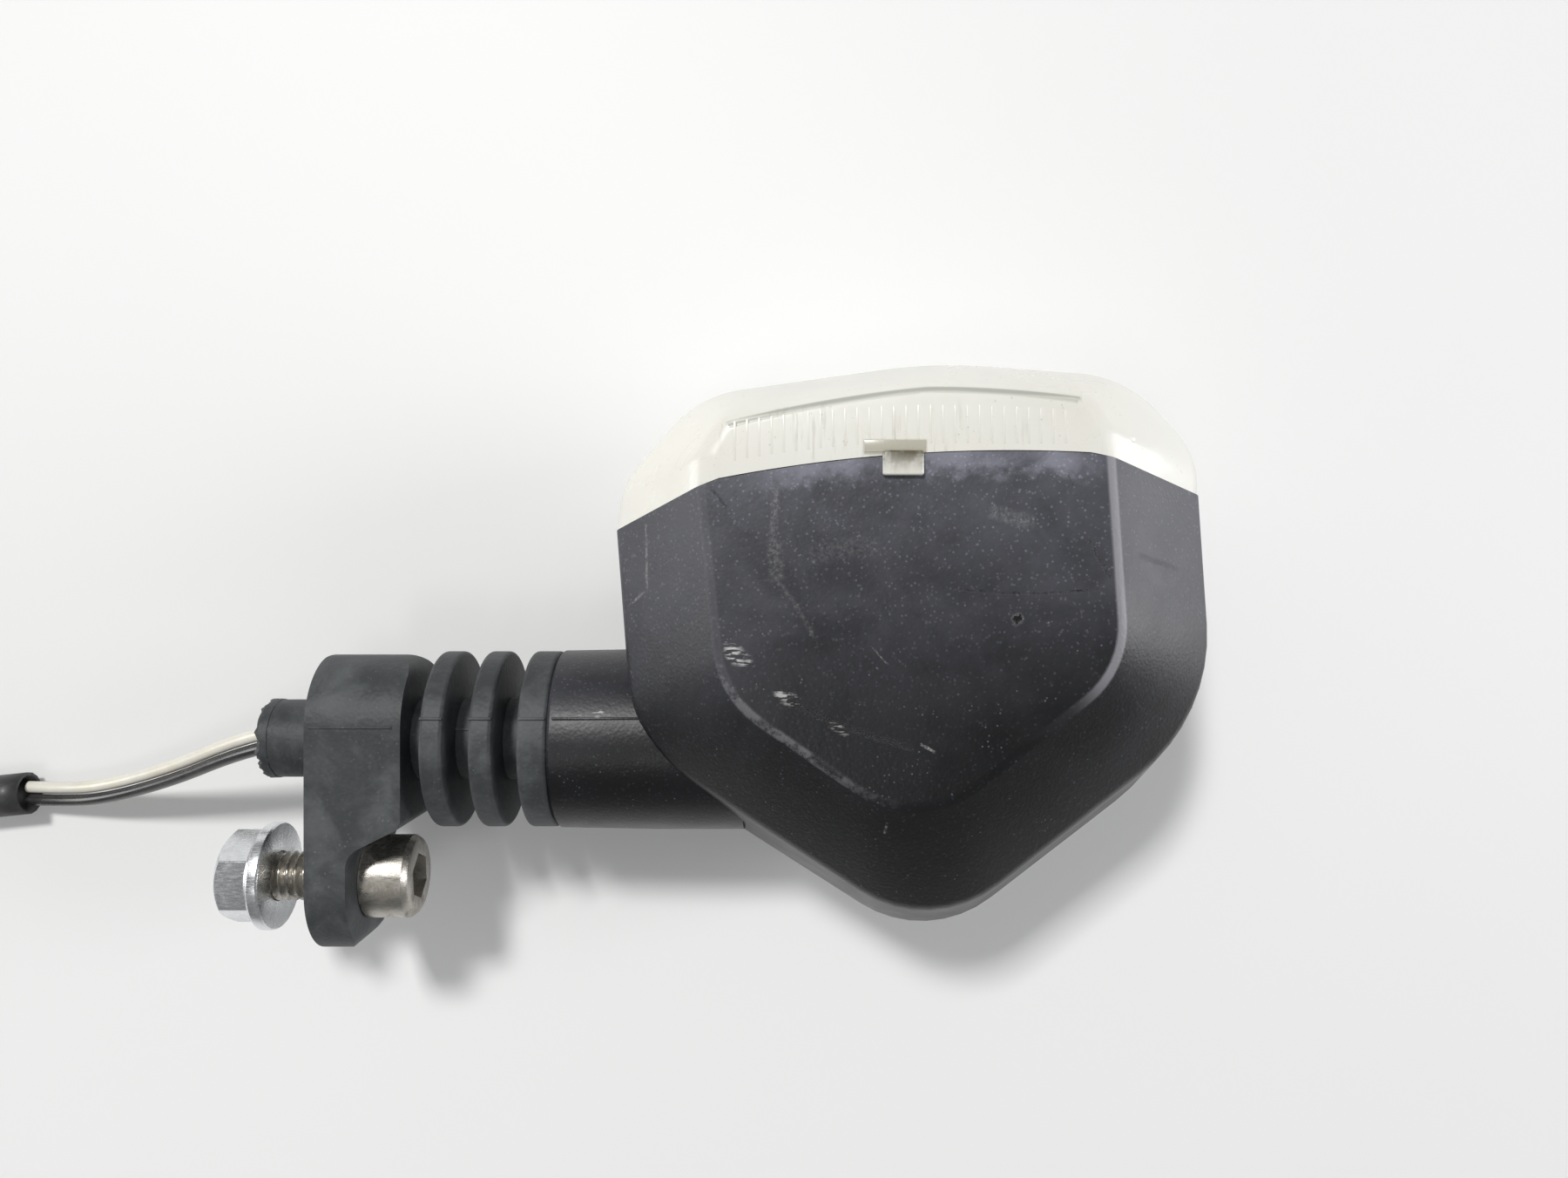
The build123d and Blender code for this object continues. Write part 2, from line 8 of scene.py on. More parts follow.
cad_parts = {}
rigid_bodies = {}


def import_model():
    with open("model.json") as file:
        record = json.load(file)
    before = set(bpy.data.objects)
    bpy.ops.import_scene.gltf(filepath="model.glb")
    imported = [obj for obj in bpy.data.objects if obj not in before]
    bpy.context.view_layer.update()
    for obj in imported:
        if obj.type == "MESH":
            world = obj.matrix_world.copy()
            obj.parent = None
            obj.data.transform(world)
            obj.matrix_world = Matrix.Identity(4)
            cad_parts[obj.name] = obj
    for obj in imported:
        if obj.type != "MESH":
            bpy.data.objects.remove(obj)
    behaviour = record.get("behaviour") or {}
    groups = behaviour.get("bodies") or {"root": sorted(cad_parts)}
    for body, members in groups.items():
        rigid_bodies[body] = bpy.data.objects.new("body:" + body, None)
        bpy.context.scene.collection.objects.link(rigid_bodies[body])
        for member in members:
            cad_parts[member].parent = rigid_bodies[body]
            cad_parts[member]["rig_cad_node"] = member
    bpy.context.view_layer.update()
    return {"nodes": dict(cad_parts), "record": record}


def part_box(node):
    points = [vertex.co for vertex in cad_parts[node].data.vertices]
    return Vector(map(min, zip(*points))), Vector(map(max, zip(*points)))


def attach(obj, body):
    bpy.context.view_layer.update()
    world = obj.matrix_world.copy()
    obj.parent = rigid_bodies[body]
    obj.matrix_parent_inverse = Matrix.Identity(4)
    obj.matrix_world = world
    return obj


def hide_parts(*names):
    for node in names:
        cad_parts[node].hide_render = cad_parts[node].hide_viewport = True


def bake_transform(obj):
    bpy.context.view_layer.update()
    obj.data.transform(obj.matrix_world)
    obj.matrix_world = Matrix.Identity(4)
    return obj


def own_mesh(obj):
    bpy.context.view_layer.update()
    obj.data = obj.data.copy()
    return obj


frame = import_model()

bl_info = {
    "name": "Turn Signal",
    "version": (1, 0, 0),
    "blender": (4, 5, 0),
    "location": "3D View > Sidebar > Turn Signal",
    "description": "Finishes a motorcycle turn signal on its flexible rubber stem",
    "category": "Object",
}

MM = 0.001


def mm(*values):
    """A point given in millimetres, in metres."""
    return Vector([value * MM for value in values])


# ---------------------------------------------------------------- sizes from the frame

FLANGE_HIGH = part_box("stem_flange")[1]
RIBS_LOW, RIBS_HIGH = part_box("stem_ribs")
COLLAR_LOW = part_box("stem_collar")[0]
LENS_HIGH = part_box("lens")[1]
BOLT_LOW, BOLT_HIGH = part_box("fixing_bolt")
NUT_LOW, NUT_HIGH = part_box("flange_nut")
TABLE_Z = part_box("sleeve_coil")[0].z
BOLT_Y = (BOLT_LOW.y + BOLT_HIGH.y) / 2


# ---------------------------------------------------------------- settings

class HousingSettings(bpy.types.PropertyGroup):
    plastic: bpy.props.FloatVectorProperty(
        name="Plastic", description="Colour of the moulded housing", subtype="COLOR",
        size=3, min=0, max=1, default=(0.0040, 0.0042, 0.0050))
    dust: bpy.props.FloatVectorProperty(
        name="Dust", description="Colour of the dust and haze on it", subtype="COLOR",
        size=3, min=0, max=1, default=(0.27, 0.275, 0.33))
    wall: bpy.props.FloatProperty(
        name="Wall", description="Thickness of the moulded wall", unit="LENGTH", default=0.0022)
    edge: bpy.props.FloatProperty(
        name="Edge", description="Rounding of the pod's edges", unit="LENGTH", default=0.0008)


class LensSettings(bpy.types.PropertyGroup):
    plastic: bpy.props.FloatVectorProperty(
        name="Plastic", description="Colour of the aged clear lens", subtype="COLOR",
        size=3, min=0, max=1, default=(0.83, 0.815, 0.745))
    flute_pitch: bpy.props.FloatProperty(
        name="Flute pitch", description="Distance between two flutes", unit="LENGTH", default=0.0013)
    wall: bpy.props.FloatProperty(
        name="Wall", description="Thickness of the lens", unit="LENGTH", default=0.0022)
    edge: bpy.props.FloatProperty(
        name="Edge", description="Rounding of the lens's edges", unit="LENGTH", default=0.0015)


class StemSettings(bpy.types.PropertyGroup):
    rubber: bpy.props.FloatVectorProperty(
        name="Rubber", description="Colour of the stem's rubber", subtype="COLOR",
        size=3, min=0, max=1, default=(0.037, 0.041, 0.044))
    dust: bpy.props.FloatVectorProperty(
        name="Dust", description="Colour of the dust on the rubber", subtype="COLOR",
        size=3, min=0, max=1, default=(0.17, 0.18, 0.188))
    seam: bpy.props.FloatProperty(
        name="Parting line", description="Height of the parting line", unit="LENGTH", default=0.00022)


class FixingSettings(bpy.types.PropertyGroup):
    zinc: bpy.props.FloatVectorProperty(
        name="Zinc", description="Colour of the nut's zinc plate", subtype="COLOR",
        size=3, min=0, max=1, default=(0.78, 0.80, 0.82))
    steel: bpy.props.FloatVectorProperty(
        name="Steel", description="Colour of the bolt's steel", subtype="COLOR",
        size=3, min=0, max=1, default=(0.46, 0.44, 0.40))
    thread_pitch: bpy.props.FloatProperty(
        name="Thread pitch", description="Travel of the nut in one turn", unit="LENGTH", default=0.001)


class LeadSettings(bpy.types.PropertyGroup):
    wire: bpy.props.FloatProperty(
        name="Wire", description="Outer diameter of each lead", unit="LENGTH", default=0.0016)
    sleeve: bpy.props.FloatProperty(
        name="Sleeve", description="Outer diameter of the sleeve", unit="LENGTH", default=0.0058)
    coil_turns: bpy.props.FloatProperty(
        name="Turns", description="Turns of the put-away sleeve", default=1.35, min=0.5, max=6)


class StageSettings(bpy.types.PropertyGroup):
    camera_height: bpy.props.FloatProperty(
        name="Camera height", description="Height of the camera over the stem's axis",
        unit="LENGTH", default=0.140)
    focal_length: bpy.props.FloatProperty(
        name="Focal length", description="Focal length of the camera", unit="CAMERA", default=26.0)
    table: bpy.props.FloatVectorProperty(
        name="Table", description="Colour of the table", subtype="COLOR",
        size=3, min=0, max=1, default=(0.86, 0.86, 0.86))


# ---------------------------------------------------------------- shader node helpers

def new_group(name, inputs, outputs):
    """An empty shader node group with named sockets, and its input and output nodes."""
    group = bpy.data.node_groups.new(name, "ShaderNodeTree")
    for socket, kind, default in inputs:
        made = group.interface.new_socket(name=socket, in_out="INPUT", socket_type=kind)
        if default is not None:
            made.default_value = default
    for socket, kind in outputs:
        group.interface.new_socket(name=socket, in_out="OUTPUT", socket_type=kind)
    return group, group.nodes.new("NodeGroupInput"), group.nodes.new("NodeGroupOutput")


def put(tree, kind, **settings):
    """A node with its properties set, and the values of its inputs by name."""
    node = tree.nodes.new("ShaderNode" + kind)
    for key, value in settings.items():
        if key == "inputs":
            for socket, content in value.items():
                node.inputs[socket].default_value = content
        else:
            setattr(node, key, value)
    return node


def math(tree, operation, *values, clamp=False):
    """A Math node on links or numbers, and its output."""
    node = put(tree, "Math", operation=operation, use_clamp=clamp)
    for socket, value in zip(node.inputs, values):
        if isinstance(value, (int, float)):
            socket.default_value = value
        else:
            tree.links.new(value, socket)
    return node.outputs[0]


def times(tree, first, *others):
    """The product of two or more links or numbers."""
    for other in others:
        first = math(tree, "MULTIPLY", first, other)
    return first


def plus(tree, first, second, clamp=False):
    return math(tree, "ADD", first, second, clamp=clamp)


def within(tree, value, start, full, fading, end):
    """A band: it rises from start to full and falls from fading to end."""
    return times(tree, ramp(tree, value, start, full), ramp(tree, value, end, fading))


def minus(tree, first, second):
    return math(tree, "SUBTRACT", first, second)


def larger(tree, first, second):
    return math(tree, "MAXIMUM", first, second)


def ramp(tree, value, low, high, out_low=0.0, out_high=1.0):
    """A smooth step from low to high, and its output."""
    node = put(tree, "MapRange", interpolation_type="SMOOTHSTEP")
    node.inputs["From Min"].default_value = low
    node.inputs["From Max"].default_value = high
    node.inputs["To Min"].default_value = out_low
    node.inputs["To Max"].default_value = out_high
    tree.links.new(value, node.inputs["Value"])
    return node.outputs["Result"]


def noise(tree, vector, scale, detail=4.0, rough=0.55, distortion=0.0):
    """A noise texture at a place, and its value."""
    node = put(tree, "TexNoise", inputs={"Scale": scale, "Detail": detail,
                                         "Roughness": rough, "Distortion": distortion})
    tree.links.new(vector, node.inputs["Vector"])
    return node.outputs["Fac"]


def mix(tree, factor, first, second):
    """A colour mix; either side may be a link or an RGB triple."""
    node = put(tree, "Mix", data_type="RGBA")
    tree.links.new(factor, node.inputs["Factor"])
    for socket, value in ((node.inputs[6], first), (node.inputs[7], second)):
        if isinstance(value, bpy.types.NodeSocket):
            tree.links.new(value, socket)
        else:
            socket.default_value = (*value, 1.0)
    return node.outputs[2]


def split(tree, where):
    """The X, Y and Z of a place."""
    node = put(tree, "SeparateXYZ")
    tree.links.new(where, node.inputs[0])
    return list(node.outputs)


def stretched(tree, where, scale, turn=0.0):
    """A place turned about Z and scaled along each axis, for streaks."""
    node = put(tree, "Mapping", inputs={"Rotation": (0, 0, turn), "Scale": scale})
    tree.links.new(where, node.inputs["Vector"])
    return node.outputs[0]


def shared_effects():
    """The node groups that several finishes use: grain, dust, a long scratch and a scuffed patch."""
    made = {}

    group, inside, outside = new_group(
        "Moulded Grain", [("Vector", "NodeSocketVector", None), ("Scale", "NodeSocketFloat", 1.0)],
        [("Height", "NodeSocketFloat"), ("Speckle", "NodeSocketFloat")])
    scaled = put(group, "VectorMath", operation="SCALE")
    group.links.new(inside.outputs["Vector"], scaled.inputs[0])
    group.links.new(inside.outputs["Scale"], scaled.inputs["Scale"])
    fine = put(group, "TexVoronoi", feature="SMOOTH_F1",
               inputs={"Scale": 2600.0, "Smoothness": 0.6})
    group.links.new(scaled.outputs[0], fine.inputs["Vector"])
    coarse = noise(group, scaled.outputs[0], 1500.0, 3.0, 0.6)
    height = plus(group, times(group, fine.outputs["Distance"], 0.7),
                  times(group, coarse, 0.6))
    group.links.new(height, outside.inputs["Height"])
    dots = put(group, "TexVoronoi", feature="F1", inputs={"Scale": 1900.0})
    group.links.new(scaled.outputs[0], dots.inputs["Vector"])
    speck = times(group, ramp(group, dots.outputs["Distance"], 0.36, 0.14),
                  ramp(group, noise(group, scaled.outputs[0], 1100.0, 3.0, 0.7), 0.40, 0.60))
    group.links.new(speck, outside.inputs["Speckle"])
    made["grain"] = group

    group, inside, outside = new_group(
        "Settled Dust",
        [("Vector", "NodeSocketVector", None), ("Patch Scale", "NodeSocketFloat", 90.0),
         ("Fleck Scale", "NodeSocketFloat", 1900.0)],
        [("Film", "NodeSocketFloat"), ("Flecks", "NodeSocketFloat")])
    patch = put(group, "TexNoise", inputs={"Detail": 5.0, "Roughness": 0.6, "Distortion": 0.4})
    group.links.new(inside.outputs["Vector"], patch.inputs["Vector"])
    group.links.new(inside.outputs["Patch Scale"], patch.inputs["Scale"])
    group.links.new(ramp(group, patch.outputs["Fac"], 0.38, 0.72), outside.inputs["Film"])
    fleck = put(group, "TexVoronoi", feature="F1")
    group.links.new(inside.outputs["Vector"], fleck.inputs["Vector"])
    group.links.new(inside.outputs["Fleck Scale"], fleck.inputs["Scale"])
    dots = ramp(group, fleck.outputs["Distance"], 0.20, 0.09)
    rare = noise(group, inside.outputs["Vector"], 420.0, 2.0, 0.5)
    group.links.new(times(group, dots, ramp(group, rare, 0.52, 0.64)), outside.inputs["Flecks"])
    made["dust"] = group

    lie = [("Vector", "NodeSocketVector", None), ("Along", "NodeSocketVector", None),
           ("Along Start", "NodeSocketFloat", 0.0), ("Across", "NodeSocketVector", None),
           ("Across Start", "NodeSocketFloat", 0.0)]

    def along_across(group, inside):
        """How far a point lies along and across a mark, in shares of its length and width."""
        found = []
        for way in ("Along", "Across"):
            node = put(group, "VectorMath", operation="DOT_PRODUCT")
            group.links.new(inside.outputs["Vector"], node.inputs[0])
            group.links.new(inside.outputs[way], node.inputs[1])
            found.append(minus(group, node.outputs["Value"], inside.outputs[way + " Start"]))
        return found

    group, inside, outside = new_group(
        "Long Scratch",
        lie + [("Bend", "NodeSocketFloat", 0.0), ("Wander", "NodeSocketFloat", 0.0),
               ("Broken", "NodeSocketFloat", 1.0), ("Strength", "NodeSocketFloat", 1.0)],
        [("Mask", "NodeSocketFloat")])
    along, across = along_across(group, inside)
    sag = times(group, along, along, inside.outputs["Bend"])
    off = plus(group, minus(group, across, sag), inside.outputs["Wander"])
    mask = times(group, ramp(group, math(group, "ABSOLUTE", off), 0.75, 0.15),
                 ramp(group, math(group, "ABSOLUTE", along), 0.5, 0.36), inside.outputs["Broken"],
                 inside.outputs["Strength"])
    group.links.new(mask, outside.inputs["Mask"])
    made["scratch"] = group

    group, inside, outside = new_group(
        "Scuffed Patch",
        lie + [("Ragged", "NodeSocketFloat", 0.0), ("Streaks", "NodeSocketFloat", 1.0),
               ("Strength", "NodeSocketFloat", 1.0)],
        [("Mask", "NodeSocketFloat")])
    along, across = along_across(group, inside)
    reach = math(group, "SQRT", plus(group, times(group, along, along),
                                     times(group, across, across)))
    inner = ramp(group, plus(group, reach, inside.outputs["Ragged"]), 0.62, 0.15)
    mask = times(group, inner, inside.outputs["Streaks"], inside.outputs["Strength"])
    group.links.new(mask, outside.inputs["Mask"])
    made["scuffed"] = group
    return made


def place_group(tree, group, where, **values):
    """A shared effect at a place, with the values of its sockets."""
    node = tree.nodes.new("ShaderNodeGroup")
    node.node_tree = group
    tree.links.new(where, node.inputs["Vector"])
    for socket, value in values.items():
        node.inputs[socket.replace("_", " ")].default_value = value
    return node


def new_finish(name, slot_color, roughness, metallic=0.0, **sockets):
    """A Principled material and the Object coordinates that it reads."""
    material = bpy.data.materials.new(name)
    material.use_nodes = True
    tree = material.node_tree
    shader = tree.nodes["Principled BSDF"]
    shader.inputs["Base Color"].default_value = (*slot_color, 1.0)
    shader.inputs["Roughness"].default_value = roughness
    shader.inputs["Metallic"].default_value = metallic
    for socket, value in sockets.items():
        shader.inputs[socket.replace("_", " ")].default_value = value
    coordinates = put(tree, "TexCoord")
    return material, tree, shader, coordinates.outputs["Object"]


def bump(tree, shader, height, distance, strength=1.0):
    """Raises the surface by a height's value times a distance in metres."""
    node = put(tree, "Bump", inputs={"Strength": strength, "Distance": distance})
    tree.links.new(height, node.inputs["Height"])
    tree.links.new(node.outputs["Normal"], shader.inputs["Normal"])


def mark(tree, group, where, place, length, turn, width, **links):
    """The mask of a scratch or scuff at a place in mm, its length turn degrees from X in plan."""
    along = Vector((cos(radians(turn)), sin(radians(turn)), 0)) / (length * MM)
    across = Vector((-sin(radians(turn)), cos(radians(turn)), 0)) / (width * MM)
    node = place_group(tree, group, where)
    node.inputs["Along"].default_value = along
    node.inputs["Across"].default_value = across
    node.inputs["Along Start"].default_value = along.dot(mm(*place))
    node.inputs["Across Start"].default_value = across.dot(mm(*place))
    for socket, value in links.items():
        if isinstance(value, bpy.types.NodeSocket):
            tree.links.new(value, node.inputs[socket])
        else:
            node.inputs[socket].default_value = value
    return node.outputs["Mask"]


# ---------------------------------------------------------------- finishes

# Scratches on the housing's upper side: centre in mm, length in mm, direction in degrees, width in
# mm, bend per metre and strength. A scuff has no bend.
DARK_SCRATCHES = [
    ((81.6, 17.95, 20), 17.0, 0, 0.26, 7.0, 1.0), ((89.2, 21.6, 20), 5.6, -60, 0.42, 0.0, 0.9),
    ((86.7, 28.6, 20), 5.2, -68, 0.30, 0.0, 0.5), ((48.9, 28.0, 20), 3.2, -52, 0.34, 0.0, 0.7),
    ((97.0, 21.3, 15), 7.0, -14, 0.7, 0.0, 0.18), ((63.0, 3.6, 20), 15.0, -20, 0.8, 6.0, 0.6),
]
PALE_SCRATCHES = [
    ((54.8, 25.6, 20), 9.5, 86, 0.85, 14.0, 0.22), ((54.9, 21.4, 20), 5.0, 92, 1.7, 0.0, 0.16),
    ((57.0, 16.6, 20), 9.0, -57, 0.5, -9.0, 0.13),
    ((40.5, 21.9, 15), 8.4, 90, 0.30, 0.0, 0.40), ((39.3, 17.3, 15), 3.2, 38, 0.26, 0.0, 0.40),
    ((71.0, 1.5, 20), 2.0, -28, 0.30, 0.0, 0.7), ((66.0, 11.3, 20), 2.8, -48, 0.18, 0.0, 0.30),
    ((66.8, -7.4, 18), 1.6, 80, 0.30, 0.0, 0.4), ((32.9, 3.9, 10), 7.6, 1, 0.30, 0.0, 0.40),
    ((80.0, 26.0, 20), 5.5, -14, 1.5, 0.0, 0.20), ((62.0, 22.6, 20), 9.0, 8, 2.4, 0.0, 0.10),
]
SCUFFS = [
    ((50.9, 11.4, 20), 3.6, -40, 2.0, 0.9), ((56.1, 6.9, 20), 3.4, -28, 1.3, 0.7),
    ((61.5, 3.6, 20), 2.6, -30, 1.0, 0.45), ((34.5, 4.1, 10), 1.5, 10, 0.9, 0.9),
]
PIT = (80.5, 15.2, 20)


def housing_finish(effects, settings):
    """Black moulded plastic with dust, a hazy band under the lens, a painted sheen towards it, wear and a
    painted highlight along the crease, and marks.
    """
    material, tree, shader, where = new_finish("Housing Plastic", settings.plastic, 0.42,
                                               Specular_IOR_Level=0.42)
    grain = place_group(tree, effects["grain"], where, Scale=1.0)
    dust = place_group(tree, effects["dust"], where, Patch_Scale=70.0, Fleck_Scale=1500.0)
    x, y, z = split(tree, where)
    upper = ramp(tree, z, 0.001, 0.006)
    cloud = noise(tree, where, 130.0, 5.0, 0.65, 0.5)
    ragged = noise(tree, where, 620.0, 5.0, 0.7)

    # a hazy band inside the lens's curved edge, and a wider, weaker painted sheen that makes the face
    # lighter towards the lens
    middle = minus(tree, x, 0.0775)
    edge = minus(tree, 0.0330, times(tree, middle, middle, 3.4))
    depth = minus(tree, minus(tree, edge, y), times(tree, minus(tree, ragged, 0.45), 0.005))
    haze = times(tree, ramp(tree, depth, 0.0030, 0.0004), ramp(tree, cloud, 0.30, 0.62, 0.25, 1.0),
                 within(tree, x, 0.048, 0.060, 0.084, 0.092), upper)
    painted_top_sheen = times(tree, ramp(tree, depth, 0.030, 0.002), ramp(tree, cloud, 0.25, 0.75, 0.55, 1.0))

    # scratches, scuffs and the pit with its pale rim
    drift = minus(tree, noise(tree, where, 300.0, 3.0, 0.6), 0.5)
    gaps = ramp(tree, noise(tree, where, 1900.0, 5.0, 0.8), 0.40, 0.66)
    lines = {"dark": DARK_SCRATCHES, "pale": PALE_SCRATCHES}
    masks = {}
    for shade, marks in lines.items():
        for place, length, turn, width, bend, strength in marks:
            seen = mark(tree, effects["scratch"], where, place, length, turn, width,
                        Bend=bend * length * length / width * MM, Strength=strength, Broken=gaps,
                        Wander=times(tree, drift, 0.4 / width))
            masks[shade] = seen if shade not in masks else larger(tree, masks[shade], seen)
    dark, pale = masks["dark"], masks["pale"]
    slanted = stretched(tree, where, (0.2, 1.0, 0.2), radians(35))
    streaks = ramp(tree, noise(tree, slanted, 2600.0, 3.0, 0.6), 0.50, 0.58)
    torn = times(tree, minus(tree, ragged, 0.5), 0.9)
    for place, length, turn, width, strength in SCUFFS:
        seen = mark(tree, effects["scuffed"], where, place, length, turn, width, Ragged=torn,
                    Streaks=streaks, Strength=strength)
        pale = larger(tree, pale, seen)
    hole = put(tree, "VectorMath", operation="DISTANCE")
    hole.inputs[1].default_value = mm(*PIT)
    tree.links.new(where, hole.inputs[0])
    jagged = noise(tree, where, 1500.0, 3.0, 0.7)
    ring = plus(tree, hole.outputs["Value"], times(tree, minus(tree, jagged, 0.5), 0.0013))
    dark = times(tree, larger(tree, dark, ramp(tree, ring, 0.00048, 0.00030)), upper)
    rim = within(tree, ring, 0.00036, 0.00050, 0.00060, 0.00080)
    pale = times(tree, larger(tree, pale, times(tree, rim, jagged, 0.16)), upper)

    # dust over all; along the creases of the face, wear flecks at the lower left and a painted highlight,
    # faint all round and bright on the right
    # the speckle grows stronger towards the lens with the painted sheen
    speckle = times(tree, grain.outputs["Speckle"], plus(tree, 0.06, times(tree, painted_top_sheen, 0.30)))
    flecks = times(tree, dust.outputs["Flecks"], 0.30)
    # the dust film thins towards the tail, so the face is darker there
    film = times(tree, dust.outputs["Film"], ramp(tree, y, -0.012, 0.010, 0.006, 0.05))
    crease = within(tree, z, 0.01952, 0.01972, 0.01995, 0.019995)
    # right: a painted highlight along the crease, faint all round and bright on the right side
    right = times(tree, ramp(tree, x, 0.086, 0.0905, 0.10, 0.62), ramp(tree, y, 0.001, 0.010))
    left = times(tree, ramp(tree, x, 0.070, 0.058), ramp(tree, y, 0.014, 0.008),
                 ramp(tree, ragged, 0.42, 0.62, 0.04, 0.34))
    crease_wear_and_highlight = times(tree, larger(tree, right, left), crease)
    dusty = plus(tree, plus(tree, film, flecks), speckle, clamp=True)
    dusty = plus(tree, dusty, times(tree, haze, 0.55), clamp=True)
    # the painted sheen, lighter towards the lens, goes into the dust's colour
    dusty = plus(tree, dusty, times(tree, painted_top_sheen, 0.25), clamp=True)
    coloured = mix(tree, dusty, settings.plastic, settings.dust)
    coloured = mix(tree, crease_wear_and_highlight, coloured, (0.34, 0.34, 0.365))
    coloured = mix(tree, pale, coloured, (0.55, 0.55, 0.54))
    coloured = mix(tree, dark, coloured, (0.002, 0.002, 0.002))
    tree.links.new(coloured, shader.inputs["Base Color"])
    rough = plus(tree, ramp(tree, cloud, 0.2, 0.8, 0.33, 0.43),
                 times(tree, larger(tree, dusty, pale), 0.35), clamp=True)
    tree.links.new(rough, shader.inputs["Roughness"])
    height = minus(tree, grain.outputs["Height"], times(tree, dark, 3.0))
    bump(tree, shader, plus(tree, height, pale), 0.000035, 0.7)
    return material


def lens_finish(effects, settings):
    """Aged clear plastic: cream, cloudy, with grime along its flutes and a darker tab root."""
    material, tree, shader, where = new_finish("Lens Plastic", settings.plastic, 0.22,
                                               Transmission_Weight=0.06, IOR=1.49, Coat_Weight=0.25)
    dust = place_group(tree, effects["dust"], where, Patch_Scale=85.0, Fleck_Scale=1300.0)
    x, y, z = split(tree, where)
    cloud = noise(tree, where, 60.0, 4.0, 0.6, 0.6)
    warm = mix(tree, ramp(tree, cloud, 0.3, 0.7), settings.plastic, (0.83, 0.825, 0.775))
    downwards = stretched(tree, where, (1.0, 0.10, 1.0))
    drips = ramp(tree, noise(tree, downwards, 1500.0, 3.0, 0.6), 0.52, 0.66)
    drips = times(tree, drips, ramp(tree, noise(tree, where, 110.0, 2.0), 0.42, 0.58))
    near = ramp(tree, z, 0.0192, 0.0198)
    grime = times(tree, drips, near, ramp(tree, y, 0.039, 0.037), 0.30)
    grime = plus(tree, grime, times(tree, dust.outputs["Film"], 0.07), clamp=True)
    # the tab's darker root, and dirt with painted shade on the tab's top, darker towards +Y
    root = times(tree, within(tree, x, 0.0641, 0.0644, 0.0708, 0.0711),
                 within(tree, y, 0.0325, 0.0328, 0.0341, 0.0344), near)
    tab_dirt_and_shade = times(tree, ramp(tree, y, 0.0302, 0.0330), ramp(tree, z, 0.02015, 0.0203),
                     ramp(tree, noise(tree, where, 800.0, 3.0), 0.3, 0.6, 0.5, 1.0))
    # grime and painted shade in the two grooves, which follow a curve each side of X = 71 mm
    along = minus(tree, x, 0.0710)
    left = math(tree, "LESS_THAN", along, 0.0)
    slope = plus(tree, 0.013, times(tree, left, 0.078))
    curve = plus(tree, -4.9, times(tree, left, 0.95))
    middle = plus(tree, times(tree, along, slope), times(tree, along, along, curve))
    away = math(tree, "ABSOLUTE", minus(tree, y, plus(tree, middle, 0.03941)))
    line = times(tree, ramp(tree, away, 0.00062, 0.00038),
                 within(tree, x, 0.0494, 0.0500, 0.0870, 0.0876),
                 within(tree, z, 0.0185, 0.0190, 0.01965, 0.01990))
    dirty = mix(tree, grime, warm, (0.36, 0.33, 0.26))
    dirty = mix(tree, times(tree, root, 0.85), dirty, (0.44, 0.42, 0.34))
    dirty = mix(tree, times(tree, tab_dirt_and_shade, 0.95), dirty, (0.10, 0.085, 0.05))
    dirty = mix(tree, times(tree, line, 0.75), dirty, (0.33, 0.34, 0.30))
    flecked = mix(tree, times(tree, dust.outputs["Flecks"], 0.25), dirty, (0.24, 0.22, 0.18))
    tree.links.new(flecked, shader.inputs["Base Color"])
    rough = ramp(tree, plus(tree, cloud, times(tree, grime, 0.6)), 0.2, 0.9, 0.20, 0.46)
    tree.links.new(rough, shader.inputs["Roughness"])
    ripple = plus(tree, noise(tree, where, 420.0, 3.0, 0.5), times(tree, drips, 0.5))
    bump(tree, shader, ripple, 0.00002, 0.4)
    return material


def rubber_finish(effects, settings):
    """Charcoal rubber with a thin film of dust, streaks and flecks."""
    material, tree, shader, where = new_finish("Stem Rubber", settings.rubber, 0.56,
                                               Specular_IOR_Level=0.38)
    grain = place_group(tree, effects["grain"], where, Scale=0.8)
    dust = place_group(tree, effects["dust"], where, Patch_Scale=190.0, Fleck_Scale=1300.0)
    streaks = noise(tree, stretched(tree, where, (1.0, 0.2, 1.0)), 700.0, 4.0, 0.65)
    film = plus(tree, times(tree, dust.outputs["Film"], 0.36),
                times(tree, ramp(tree, streaks, 0.5, 0.75), 0.06))
    film = plus(tree, film, times(tree, grain.outputs["Speckle"], 0.13))
    dusty = plus(tree, film, times(tree, dust.outputs["Flecks"], 0.42), clamp=True)
    tree.links.new(mix(tree, dusty, settings.rubber, settings.dust), shader.inputs["Base Color"])
    rough = plus(tree, times(tree, dusty, 0.3), 0.50, clamp=True)
    tree.links.new(rough, shader.inputs["Roughness"])
    bump(tree, shader, plus(tree, grain.outputs["Height"], times(tree, streaks, 0.8)),
         0.00004)
    return material


